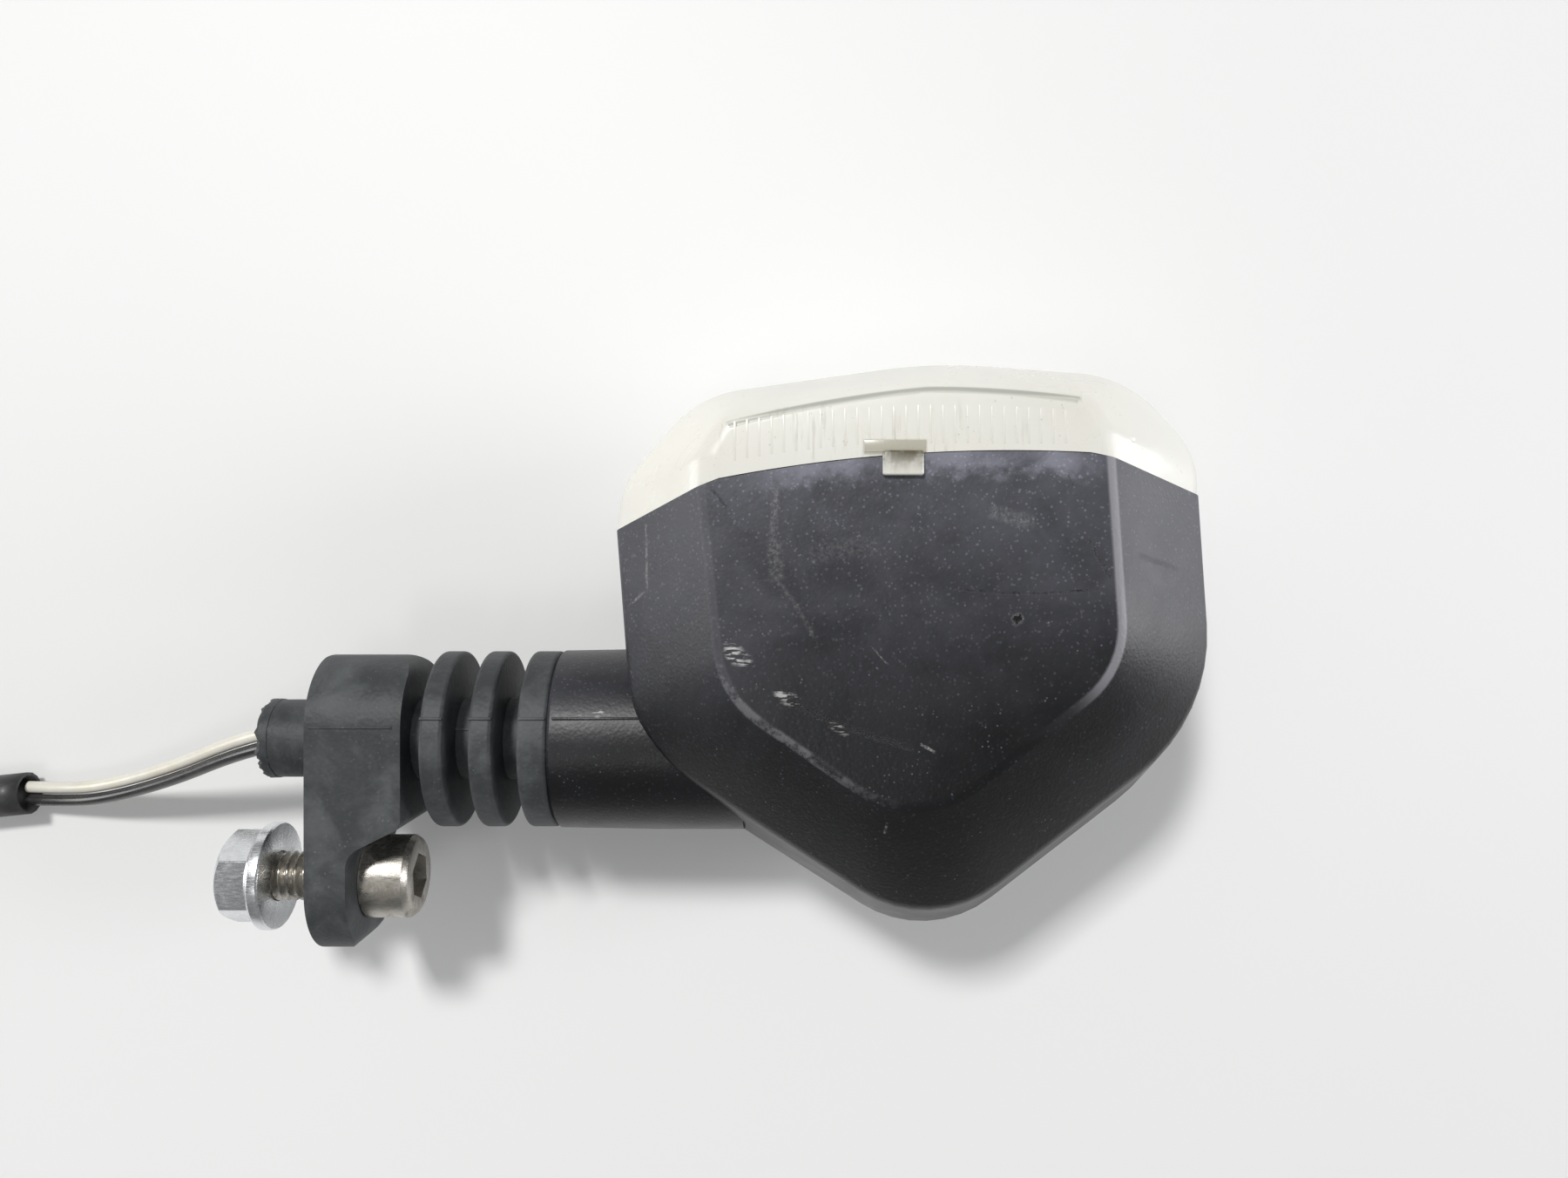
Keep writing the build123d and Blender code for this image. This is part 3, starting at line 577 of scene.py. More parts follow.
def metal_finish(effects, name, color, grime, grime_amount, roughness, brush=(1.0, 6.0, 6.0)):
    """Plated or bare metal with brushed lines and grime."""
    material, tree, shader, where = new_finish(name, color, roughness, 1.0)
    dust = place_group(tree, effects["dust"], where, Patch_Scale=260.0,
                       Fleck_Scale=2600.0)
    brushed = noise(tree, stretched(tree, where, brush), 900.0, 5.0, 0.7)
    blotch = noise(tree, where, 420.0, 5.0, 0.7, 0.6)
    dirt = plus(tree, times(tree, ramp(tree, blotch, 0.45, 0.68), grime_amount),
                times(tree, dust.outputs["Flecks"], 0.6), clamp=True)
    tree.links.new(mix(tree, dirt, color, grime), shader.inputs["Base Color"])
    tree.links.new(minus(tree, 1.0, times(tree, dirt, 0.75)),
                   shader.inputs["Metallic"])
    rough = plus(tree, ramp(tree, brushed, 0.3, 0.7, roughness - 0.07, roughness + 0.1),
                 times(tree, dirt, 0.35), clamp=True)
    tree.links.new(rough, shader.inputs["Roughness"])
    bump(tree, shader, plus(tree, brushed, times(tree, dirt, 0.6)), 0.000012)
    return material


def vinyl_finish(effects, name, color, tint, roughness, coat=0.0, film=0.15):
    """Soft vinyl, as on wires and sleeves, with slight colour drift, flecks and long waves."""
    material, tree, shader, where = new_finish(name, color, roughness, Coat_Roughness=0.2,
                                               Specular_IOR_Level=0.5)
    shader.inputs["Coat Weight"].default_value = coat
    dust = place_group(tree, effects["dust"], where, Patch_Scale=180.0,
                       Fleck_Scale=2200.0)
    drift = noise(tree, where, 140.0, 3.0, 0.5)
    base = mix(tree, ramp(tree, drift, 0.3, 0.7), color, tint)
    dusty = plus(tree, times(tree, dust.outputs["Film"], film),
                 times(tree, dust.outputs["Flecks"], 0.25), clamp=True)
    tree.links.new(mix(tree, dusty, base, (0.33, 0.32, 0.29)), shader.inputs["Base Color"])
    rough = plus(tree, ramp(tree, drift, 0.2, 0.8, roughness - 0.05, roughness + 0.08),
                 times(tree, dusty, 0.3), clamp=True)
    tree.links.new(rough, shader.inputs["Roughness"])
    bump(tree, shader, noise(tree, where, 900.0, 4.0, 0.6), 0.00003, 0.7)
    return material


def glass_finish(name, color, roughness, haze):
    """Clear lamp glass with faint waves."""
    material, tree, shader, where = new_finish(name, color, roughness, Transmission_Weight=0.95,
                                               IOR=1.5)
    tree.links.new(mix(tree, ramp(tree, noise(tree, where, 200.0), 0.4, 0.7), color, haze),
                   shader.inputs["Base Color"])
    bump(tree, shader, noise(tree, where, 150.0, 2.0), 0.00004, 0.5)
    return material


# By slot: name, colour, the grime's colour and amount, roughness and the brushed lines' scale.
METALS = {
    "socket_steel": ("Socket Steel", (0.58, 0.56, 0.50), (0.2, 0.18, 0.14), 0.3, 0.3),
    "tinned_brass": ("Tinned Brass", (0.74, 0.68, 0.52), (0.25, 0.2, 0.12), 0.3, 0.28),
    "bulb_brass": ("Bulb Brass", (0.76, 0.66, 0.42), (0.26, 0.18, 0.08), 0.3, 0.26),
    "solder": ("Solder", (0.55, 0.55, 0.55), (0.25, 0.25, 0.24), 0.4, 0.4),
    "filament_wire": ("Filament Wire", (0.33, 0.32, 0.31), (0.1, 0.1, 0.1), 0.2, 0.4),
    "reflector_chrome": ("Reflector Chrome", (0.86, 0.86, 0.87), (0.4, 0.4, 0.4), 0.12, 0.12,
                         (1.0, 1.0, 1.0)),
}
# By slot: name, colour, the colour it drifts to, roughness, coat and film of dust.
VINYLS = {
    "seal_rubber": ("Seal Rubber", (0.018, 0.018, 0.018), (0.03, 0.03, 0.03), 0.6),
    "white_insulation": ("White Insulation", (0.80, 0.78, 0.70), (0.72, 0.68, 0.56), 0.28, 0.35),
    "black_insulation": ("Black Insulation", (0.012, 0.012, 0.013), (0.02, 0.02, 0.02), 0.27, 0.35, 0.08),
    "sleeve_vinyl": ("Sleeve Vinyl", (0.022, 0.023, 0.026), (0.032, 0.033, 0.036), 0.46, 0.05, 0.10),
    "clear_vinyl": ("Clear Vinyl", (0.66, 0.67, 0.64), (0.58, 0.59, 0.55), 0.35, 0.2),
    "contact_board": ("Contact Board", (0.24, 0.12, 0.05), (0.18, 0.09, 0.04), 0.5),
}
# By slot: name, colour, roughness and the haze's colour.
GLASSES = {
    "bulb_glass": ("Bulb Glass", (0.97, 0.97, 0.97), 0.03, (0.92, 0.94, 0.95)),
    "stem_glass": ("Stem Glass", (0.90, 0.94, 0.93), 0.05, (0.82, 0.88, 0.88)),
}


def make_finishes():
    """Every finish by the record's slot."""
    scene = bpy.context.scene
    effects = shared_effects()
    fixing = scene.turn_signal_fixing
    made = {
        "stem_rubber": rubber_finish(effects, scene.turn_signal_stem),
        "housing_plastic": housing_finish(effects, scene.turn_signal_housing),
        "lens_plastic": lens_finish(effects, scene.turn_signal_lens),
        "zinc_steel": metal_finish(effects, "Zinc Plate", fixing.zinc, (0.40, 0.40, 0.39), 0.16, 0.24),
        "bolt_steel": metal_finish(effects, "Bolt Steel", fixing.steel, (0.13, 0.10, 0.07), 0.60,
                                   0.30, (1.0, 8.0, 8.0)),
    }
    made.update({slot: metal_finish(effects, *values) for slot, values in METALS.items()})
    made.update({slot: vinyl_finish(effects, *values) for slot, values in VINYLS.items()})
    made.update({slot: glass_finish(*values) for slot, values in GLASSES.items()})
    return made


FINISHES = {}


def finish(piece, slot):
    """Gives a piece its only material, the finish of a slot."""
    piece.data.materials.clear()
    piece.data.materials.append(FINISHES[slot])


# ---------------------------------------------------------------- modelling helpers

def deselect():
    """Leaves edit mode and selects nothing."""
    if bpy.context.object and bpy.context.object.mode != "OBJECT":
        bpy.ops.object.mode_set(mode="OBJECT")
    bpy.ops.object.select_all(action="DESELECT")


def pick(piece):
    """Makes a piece the only one selected, and active."""
    deselect()
    piece.select_set(True)
    bpy.context.view_layer.objects.active = piece


def settle(piece, name, smooth):
    """Applies the piece's place, names it and smooths its faces up to that angle."""
    pick(piece)
    bpy.ops.object.transform_apply(location=True, rotation=True, scale=True)
    bpy.ops.object.shade_smooth_by_angle(angle=radians(smooth))
    for modifier in list(piece.modifiers):
        bpy.ops.object.modifier_apply(modifier=modifier.name)
    piece.name = name
    piece.data.name = name
    return piece


def modify(piece, kind, **values):
    """Adds a modifier, sets it and applies it."""
    pick(piece)
    modifier = piece.modifiers.new(kind.title(), kind)
    for key, value in values.items():
        setattr(modifier, key, value)
    bpy.ops.object.modifier_apply(modifier=modifier.name)


def join(pieces, name):
    """Joins pieces into the first of them."""
    deselect()
    for piece in pieces:
        piece.select_set(True)
    bpy.context.view_layer.objects.active = pieces[0]
    bpy.ops.object.join()
    pieces[0].name = name
    return pieces[0]


def cut_with(piece, tool, operation="DIFFERENCE"):
    """A boolean with a tool piece, which is then removed."""
    modify(piece, "BOOLEAN", operation=operation, object=tool, solver="EXACT")
    bpy.data.objects.remove(tool)


def edit_all(piece):
    """Opens a piece in edit mode with all of it selected."""
    pick(piece)
    bpy.ops.object.mode_set(mode="EDIT")
    bpy.ops.mesh.select_all(action="SELECT")


def clean_outwards(piece):
    """Merges doubles and turns every face outwards."""
    edit_all(piece)
    bpy.ops.mesh.remove_doubles(threshold=1e-6)
    bpy.ops.mesh.normals_make_consistent(inside=False)
    bpy.ops.object.mode_set(mode="OBJECT")


def turned(name, profile, origin, axis, steps=96):
    """A turned piece: a closed profile of (along, radius) points in mm spun about an axis."""
    axis = Vector(axis).normalized()
    side = axis.orthogonal().normalized()
    origin = Vector(origin)
    bpy.ops.mesh.primitive_circle_add(vertices=len(profile), radius=1.0)
    piece = bpy.context.object
    for vertex, (along, out) in zip(piece.data.vertices, profile):
        vertex.co = origin + axis * along * MM + side * out * MM
    edit_all(piece)
    bpy.ops.mesh.spin(steps=steps, angle=2 * pi, center=origin, axis=axis)
    bpy.ops.mesh.select_all(action="SELECT")
    bpy.ops.mesh.remove_doubles(threshold=1e-6)
    bpy.ops.mesh.dissolve_degenerate(threshold=1e-7)
    bpy.ops.mesh.select_all(action="SELECT")
    bpy.ops.mesh.normals_make_consistent(inside=False)
    bpy.ops.object.mode_set(mode="OBJECT")
    piece.matrix_world = Matrix.Identity(4)
    piece.name = name
    return piece


def block(name, low, high, bevel, segments=2):
    """A box between two corners in mm, with rounded edges."""
    bpy.ops.mesh.primitive_cube_add(size=1.0)
    piece = bpy.context.object
    low, high = mm(*low), mm(*high)
    for vertex in piece.data.vertices:
        vertex.co = Vector([low[i] + (vertex.co[i] + 0.5) * (high[i] - low[i]) for i in range(3)])
    edit_all(piece)
    bpy.ops.mesh.bevel(offset=bevel * MM, segments=segments, affect="EDGES")
    bpy.ops.object.mode_set(mode="OBJECT")
    piece.name = name
    return piece


# ---------------------------------------------------------------- the pod's form

# The pod's outline at three heights: corners in plan in mm, each with its rounding's radius.
FACE_Z = 20.0
RIM_Z = 11.0
FACE = [(46.85, 29.4, 2.0), (49.15, 7.05, 11.0), (70.1, -7.6, 11.5), (92.1, 9.9, 10.0),
        (90.55, 32.5, 2.0), (90.0, 35.6, 2.6), (87.6, 39.2, 2.6), (70.6, 40.2, 40.0),
        (49.4, 36.8, 2.6), (47.1, 33.0, 2.6)]
RIM = [(36.65, 25.05, 2.5), (38.5, 0.94, 15.5), (72.67, -21.2, 13.5), (104.9, 4.0, 20.0),
       (103.2, 29.0, 2.5), (103.6, 33.4, 9.0), (95.0, 42.7, 14.0), (73.1, 44.4, 60.0),
       (46.0, 40.6, 13.0), (37.2, 30.4, 9.0)]
MIDDLE = [(36.65, 25.05, 2.5), (38.5, -3.4, 15.5), (73.5, -25.8, 13.9), (104.9, -1.6, 20.0),
          *RIM[4:]]
ARC_STEPS = 8


def rounded(corners, first, last):
    """The outline from one corner to another, corners between them rounded by arcs."""
    count = len(corners)
    points = [corners[first][:2]]
    index = first
    while True:
        index = (index + 1) % count
        if index == last:
            break
        x, y, radius = corners[index]
        here = Vector((x, y))
        before = (Vector(corners[index - 1][:2]) - here).normalized()
        after = (Vector(corners[(index + 1) % count][:2]) - here).normalized()
        half = before.angle(after) / 2
        reach = radius / sin(half)
        centre = here + (before + after).normalized() * reach
        start = here + before * (radius / (sin(half) / cos(half)))
        end = here + after * (radius / (sin(half) / cos(half)))
        spoke_in, spoke_out = start - centre, end - centre
        sweep = spoke_in.angle_signed(spoke_out)
        for step in range(ARC_STEPS + 1):
            turn = -sweep * step / ARC_STEPS
            points.append(tuple(centre + Matrix.Rotation(turn, 2) @ spoke_in))
    points.append(corners[last][:2])
    return points


def skin(name, first, last, face_edge):
    """The pod's wall between two corners, through its five levels, closed by its two faces."""
    levels = [(FACE, -FACE_Z), (RIM, -RIM_Z), (MIDDLE, 0.0), (RIM, RIM_Z), (FACE, FACE_Z)]
    rows = [[mm(x, y, z) for x, y in rounded(corners, first, last)] for corners, z in levels]
    width = len(rows[0])
    bpy.ops.mesh.primitive_grid_add(x_subdivisions=width - 1, y_subdivisions=len(rows) - 1, size=1.0)
    piece = bpy.context.object
    for index, vertex in enumerate(piece.data.vertices):
        row, column = divmod(index, width)
        vertex.co = rows[row][column]
    shell = bmesh.new()
    shell.from_mesh(piece.data)
    rims = [(list(shell.verts)[:width], -FACE_Z), (list(shell.verts)[-width:], FACE_Z)]
    for rim, z in rims:
        back = [shell.verts.new(mm(x, y, z)) for x, y in reversed(face_edge)]
        shell.faces.new(rim + back)
    bmesh.ops.recalc_face_normals(shell, faces=shell.faces)
    shell.to_mesh(piece.data)
    shell.free()
    piece.name = name
    return piece


def arc_between(start, through, end, steps):
    """Points on the arc through three points in plan, ends left out."""
    a, b, c = (Vector(point) for point in (start, through, end))
    d = 2 * (a.x * (b.y - c.y) + b.x * (c.y - a.y) + c.x * (a.y - b.y))
    ux = (a.length_squared * (b.y - c.y) + b.length_squared * (c.y - a.y)
          + c.length_squared * (a.y - b.y)) / d
    uy = (a.length_squared * (c.x - b.x) + b.length_squared * (a.x - c.x)
          + c.length_squared * (b.x - a.x)) / d
    centre = Vector((ux, uy))
    spoke = a - centre
    sweep = -spoke.angle_signed(c - centre)
    return [tuple(centre + Matrix.Rotation(sweep * step / steps, 2) @ spoke)
            for step in range(1, steps)]


def hollow(piece, edge, wall):
    """Rounds a skin's edges and gives it a wall inwards."""
    modify(piece, "BEVEL", width=edge, segments=4, limit_method="ANGLE", angle_limit=radians(17),
           use_clamp_overlap=True)
    modify(piece, "SOLIDIFY", thickness=wall, offset=-1.0, use_even_offset=True)
    clean_outwards(piece)


# The housing's edge under the lens, on both faces.
JUNCTION = arc_between((47.1, 29.7), (70.4, 32.75), (90.1, 32.7), 24)
# The parting lines' turn about the stem's axis.
SEAM_TURN = radians(-19)
# Along the stem's axis: the neck's start in mm, and the start of the space behind it.
NECK_X = 28.55
NECK_BORE_X = 40.4


class TURNSIGNAL_OT_housing(bpy.types.Operator):
    """Builds the pod's housing with its neck"""
    bl_idname = "turnsignal.housing"
    bl_label = "Housing"

    def execute(self, context):
        settings = context.scene.turn_signal_housing
        housing = skin("housing_shell", 0, 4, JUNCTION)
        hollow(housing, settings.edge, settings.wall)
        neck = turned("neck", [(0, 10.45), (0.35, 10.8), (12.0, 11.0), (22.4, 11.0), (22.4, 6.4), (0, 6.4)],
                      mm(NECK_X, 0, 0), (1, 0, 0))
        bore = turned("bore", [(0, 0), (0, 8.7), (12.0, 8.7), (12.0, 0)], mm(NECK_BORE_X, 0, 0),
                      (1, 0, 0), 64)
        ridge = block("ridge", (29.2, -0.14, 10.4), (40.0, 0.14, 11.15), 0.06)
        ridge.data.transform(Matrix.Rotation(SEAM_TURN, 4, "X"))
        cut_with(housing, neck, "UNION")
        cut_with(housing, bore)
        housing = join([housing, ridge], "housing_shell")
        settle(housing, "housing_shell", 30)
        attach(housing, "pod")
        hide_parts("housing")
        finish(housing, "housing_plastic")
        return {"FINISHED"}


# In mm: the snap tab's and its root's corners, where the flutes start, how far they go on and what
# place they curve about, half a flute's width, and the width and course of the two grooves.
TAB_LOW, TAB_HIGH = (66.2, 30.4), (70.6, 33.05)
ROOT_LOW, ROOT_HIGH = (64.3, 32.92), (70.85, 34.2)
FLUTES_START, FLUTES_LENGTH = 50.6, 36.5
FLUTES_MIDDLE = 70.5
HALF_FLUTE = 0.13
GROOVE_WIDTH = 0.65
LENS_GROOVES = {
    "groove_left": [(49.9, 35.7), (54.5, 36.8), (60.0, 37.9), (65.0, 38.75), (70.2, 39.3)],
    "groove_right": [(71.6, 39.4), (76.0, 39.35), (82.0, 38.95), (87.0, 38.3)],
}


class TURNSIGNAL_OT_lens(bpy.types.Operator):
    """Builds the fluted lens, its grooves, pip and snap tab"""
    bl_idname = "turnsignal.lens"
    bl_label = "Lens"

    def execute(self, context):
        settings = context.scene.turn_signal_lens
        gap = 0.1
        lens = skin("lens_shell", 4, 0, [(x, y + gap) for x, y in reversed(JUNCTION)])
        hollow(lens, settings.edge, settings.wall)
        for name, points in LENS_GROOVES.items():
            line = cord_curve(name, [(x, y, FACE_Z + 0.10) for x, y in points], GROOVE_WIDTH * MM)
            cut_with(lens, solid_copy(line))
        parts = [lens]
        pitch = settings.flute_pitch / MM
        for index in range(int(FLUTES_LENGTH / pitch)):
            x = FLUTES_START + index * pitch
            share = (x - FLUTES_MIDDLE) / 20.0
            top = 39.0 - 1.4 * share * share + 0.35 * share
            bottom = 33.2 - 1.9 * share * share if x < FLUTES_MIDDLE else 33.2 - 0.1 * share
            parts.append(block("flute", (x - HALF_FLUTE, bottom + 0.7, FACE_Z - 0.12),
                               (x + HALF_FLUTE, top - 1.1, FACE_Z + 0.035), 0.03))
        tab = block("tab", (*TAB_LOW, FACE_Z + 0.08), (*TAB_HIGH, LENS_HIGH.z / MM), 0.28, 3)
        root = block("tab_root", (*ROOT_LOW, FACE_Z - 0.5), (*ROOT_HIGH, FACE_Z + 0.07), 0.05)
        pip = turned("pip", [(0, 0), (0, 0.55), (0.5, 0.5), (0.75, 0.3), (0.8, 0)],
                     mm(93.2, 34.6, 17.0), (0.5, 0, 0.86), 24)
        parts += [tab, root, pip]
        lens = join(parts, "lens_shell")
        settle(lens, "lens_shell", 32)
        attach(lens, "lens")
        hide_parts("lens")
        finish(lens, "lens_plastic")
        return {"FINISHED"}


# ---------------------------------------------------------------- the stem

class TURNSIGNAL_OT_stem(bpy.types.Operator):
    """Finishes the rubber stem and builds the rubber of the two gaps where it bends"""
    bl_idname = "turnsignal.stem"
    bl_label = "Stem"

    def execute(self, context):
        settings = context.scene.turn_signal_stem
        core, bore, lobe = 5.0, 2.2, 10.7
        steps = 8
        gaps = [("stem_gap_inner", "mount", "ribs", FLANGE_HIGH.x, RIBS_LOW.x),
                ("stem_gap_outer", "ribs", "pod", RIBS_HIGH.x, COLLAR_LOW.x)]
        for node, body_in, body_out, start, end in gaps:
            length = (end - start) / MM
            outside = [(length * step / steps, core) for step in range(steps + 1)]
            inside = [(length * step / steps, bore) for step in range(steps, -1, -1)]
            piece = turned(node + "_rubber", outside + inside, (start, 0, 0), (1, 0, 0), 64)
            settle(piece, node + "_rubber", 40)
            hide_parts(node)
            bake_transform(piece)
            finish(piece, "stem_rubber")
        seam = settings.seam / MM
        lines = [("seam_ribs", "ribs", 13.95, 16.55, lobe), ("seam_ribs_outer", "ribs", 19.6, 22.2, lobe),
                 ("seam_core", "ribs", 16.6, 19.55, core), ("seam_collar", "pod", 25.3, 28.35, lobe)]
        for name, body, start, end, radius in lines:
            piece = block(name, (start, -0.16, radius - 0.15), (end, 0.16, radius + seam), 0.06)
            piece.data.transform(Matrix.Rotation(SEAM_TURN, 4, "X"))
            settle(piece, name, 40)
            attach(piece, body)
            finish(piece, "stem_rubber")
        line = block("seam_flange", (0.5, 2.15, 8.35), (10.2, 2.45, 8.5 + seam * 0.6), 0.05)
        settle(line, "seam_flange", 40)
        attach(line, "mount")
        finish(line, "stem_rubber")
        ragged = turned("boot_lip", [(0.0, 4.0), (-0.25, 4.3), (-0.30, 4.7), (0.0, 4.86), (0.9, 4.82),
                                     (1.2, 4.6), (1.2, 4.0)], (-0.007, 0, 0), (1, 0, 0), 120)
        for vertex in ragged.data.vertices:
            turn = vertex.co.y / 0.0048 * 5.0 + vertex.co.z / 0.0048 * 7.0
            bite = sin(turn * 2.1) * 0.5 + sin(turn * 5.3 + 1.0) * 0.3 + sin(turn * 11.7) * 0.2
            if vertex.co.x < -0.0069 or vertex.co.x > -0.0060:
                vertex.co.x += bite * 0.00036
        settle(ragged, "boot_lip", 20)
        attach(ragged, "mount")
        finish(ragged, "stem_rubber")
        for node in ("stem_flange", "stem_ribs", "stem_collar"):
            finish(frame["nodes"][node], "stem_rubber")
        return {"FINISHED"}


# ---------------------------------------------------------------- bolt and nut

THREAD_STEPS = 48
THREAD_DEPTH = 0.6134


def thread(name, origin, length, radius, pitch):
    """An outside thread along +X as one helical surface with closed ends, its sizes in mm."""
    rows = int(length / pitch * 8)
    depth = THREAD_DEPTH * pitch
    bpy.ops.mesh.primitive_grid_add(x_subdivisions=THREAD_STEPS, y_subdivisions=rows, size=1.0)
    piece = bpy.context.object
    for index, vertex in enumerate(piece.data.vertices):
        row, column = divmod(index, THREAD_STEPS + 1)
        turn = 2 * pi * column / THREAD_STEPS
        along = length * row / rows
        phase = (along / pitch - column / THREAD_STEPS) % 1.0
        ridge = 1 - abs(2 * phase - 1)
        fade = min(1.0, (length - along) / (0.7 * pitch), 1.0)
        entry = min(1.0, along / (0.9 * pitch))
        out = radius - depth + depth * min(1.0, max(0.0, 1.25 * ridge - 0.1))
        out = min(out, radius - depth * (1 - entry) * 1.1)
        out = out * fade + radius * 0.93 * (1 - fade)
        vertex.co = origin + mm(along, out * cos(turn), out * sin(turn))
    edit_all(piece)
    bpy.ops.mesh.remove_doubles(threshold=1e-6)
    bpy.ops.mesh.select_all(action="DESELECT")
    bpy.ops.mesh.select_non_manifold()
    bpy.ops.mesh.edge_face_add()
    bpy.ops.mesh.select_all(action="SELECT")
    bpy.ops.mesh.fill_holes(sides=0)
    bpy.ops.mesh.normals_make_consistent(inside=False)
    bpy.ops.object.mode_set(mode="OBJECT")
    piece.name = name
    return piece


def hex_prism(name, origin, length, across_flats, turn=0.0):
    """A six-sided bar along +X from an origin in metres, its sizes in mm."""
    bpy.ops.mesh.primitive_cylinder_add(vertices=6, radius=across_flats / 2 / cos(pi / 6) * MM,
                                        depth=length * MM)
    piece = bpy.context.object
    piece.data.transform(Matrix.Rotation(pi / 2, 4, "Y"))
    piece.data.transform(Matrix.Rotation(turn, 4, "X"))
    piece.data.transform(Matrix.Translation(Vector(origin) + mm(length / 2, 0, 0)))
    piece.matrix_world = Matrix.Identity(4)
    piece.name = name
    return piece


# Where the bolt's head begins along X, and the outer radius of its thread, in mm.
BOLT_SEAT = 4.8
BOLT_RADIUS = 2.97


class TURNSIGNAL_OT_bolt(bpy.types.Operator):
    """Builds the socket-head bolt with its thread"""
    bl_idname = "turnsignal.bolt"
    bl_label = "Bolt"

    def execute(self, context):
        settings = context.scene.turn_signal_fixing
        seat = Vector((BOLT_SEAT * MM, BOLT_Y, 0))
        head = turned("head", [(0, 0), (0, 4.7), (0.3, 5.0), (5.2, 5.0), (5.8, 4.55), (6.0, 4.2), (6.0, 0)],
                      seat, (1, 0, 0))
        socket = hex_prism("socket", (0, 0, 0), 3.6, 5.0, radians(8))
        socket.data.transform(Matrix.Translation(seat + mm(2.6, 0, 0)))
        cut_with(head, socket)
        modify(head, "BEVEL", width=0.00018, segments=2, limit_method="ANGLE", angle_limit=radians(50))
        shank = thread("shank", Vector((BOLT_LOW.x, BOLT_Y, 0)), BOLT_SEAT - BOLT_LOW.x / MM + 0.02,
                       BOLT_RADIUS, settings.thread_pitch / MM)
        bolt = join([head, shank], "bolt_body")
        settle(bolt, "bolt_body", 35)
        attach(bolt, "bolt")
        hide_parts("fixing_bolt")
        finish(bolt, "bolt_steel")
        return {"FINISHED"}


class TURNSIGNAL_OT_nut(bpy.types.Operator):
    """Builds the flange nut with its chamfers, cone and flange"""
    bl_idname = "turnsignal.nut"
    bl_label = "Nut"

    def execute(self, context):
        origin = Vector((NUT_LOW.x, BOLT_Y, 0))
        body = hex_prism("hex", origin, (NUT_HIGH.x - NUT_LOW.x) / MM - 0.3, 10.0)
        shape = turned("turned", [(0, 0), (0, 4.75), (0.75, 5.72), (5.9, 5.72), (5.9, 0)],
                       origin, (1, 0, 0))
        cut_with(body, shape, "INTERSECT")
        flange = turned("flange", [(3.6, 0), (3.6, 4.9), (4.5, 6.35), (4.75, 6.5), (5.75, 6.5), (6.0, 6.35),
                                   (6.0, 0)], origin, (1, 0, 0))
        cut_with(body, flange, "UNION")
        bore = turned("bore", [(-0.5, 0), (-0.5, 3.06), (6.5, 3.06), (6.5, 0)], origin, (1, 0, 0), 64)
        cut_with(body, bore)
        modify(body, "BEVEL", width=0.00016, segments=2, limit_method="ANGLE", angle_limit=radians(28))
        settle(body, "nut_body", 30)
        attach(body, "nut")
        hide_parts("flange_nut")
        finish(body, "zinc_steel")
        return {"FINISHED"}


# ---------------------------------------------------------------- leads

# In mm: the sleeve's mouth, its coil's centre in plan and radii, the tails' height, the leads' place
# beside the stem's axis and the end of the boot round them. The coil's start is in degrees.
MOUTH = (-48.9, -9.9, -17.1)
COIL_CENTRE = (-95.4, 14.4)
COIL_OUTER = 35.0
COIL_INNER = 27.0
COIL_START = -60.0
TAIL_Z = -19.2
LEAD_LIFT = 0.875
BOOT_END = -7.0
# Between these degrees the coil steps inside its outer lap, by so many mm, and then winds in.
STEP_START, STEP_END = 215, 360
STEP_IN = 6.0


def cord_curve(name, points, diameter, caps=True):
    """A smooth cord along control points in mm, its diameter in metres."""
    data = bpy.data.curves.new(name, "CURVE")
    data.dimensions = "3D"
    data.bevel_depth = diameter / 2
    data.bevel_resolution = 6
    data.resolution_u = 8
    data.use_fill_caps = caps
    spline = data.splines.new("NURBS")
    spline.points.add(len(points) - 1)
    for target, point in zip(spline.points, points):
        target.co = (*mm(*point), 1.0)
    spline.order_u = 3
    spline.use_endpoint_u = True
    piece = bpy.data.objects.new(name, data)
    bpy.context.scene.collection.objects.link(piece)
    return piece


def solid_copy(line):
    """A closed mesh of a cord, in place of the cord."""
    pick(line)
    bpy.ops.object.convert(target="MESH")
    piece = bpy.context.object
    clean_outwards(piece)
    return piece


def curve_length(piece):
    """The length of a cord's own line, in metres."""
    data = piece.data.copy()
    data.bevel_depth = 0.0
    bare = bpy.data.objects.new("bare", data)
    bpy.context.scene.collection.objects.link(bare)
    bpy.context.view_layer.update()
    line = bpy.data.meshes.new_from_object(bare.evaluated_get(bpy.context.evaluated_depsgraph_get()))
    bpy.data.objects.remove(bare)
    spots = [vertex.co for vertex in line.vertices]
    return sum((spots[first] - spots[last]).length for first, last in
               (edge.vertices for edge in line.edges))


def coil_radius(turn, last):
    """The coil's radius after some degrees."""
    inside = COIL_OUTER - STEP_IN
    if turn < STEP_START:
        return COIL_OUTER
    if turn < STEP_END:
        share = (turn - STEP_START) / (STEP_END - STEP_START)
        return COIL_OUTER + (inside - COIL_OUTER) * share * share * (3 - 2 * share)
    return inside + (COIL_INNER - inside) * (turn - STEP_END) / (last - STEP_END)


def in_coil(turn, radius, z):
    """A point in mm at an angle and a radius about the coil's centre."""
    return (COIL_CENTRE[0] + radius * cos(radians(turn)), COIL_CENTRE[1] + radius * sin(radians(turn)), z)


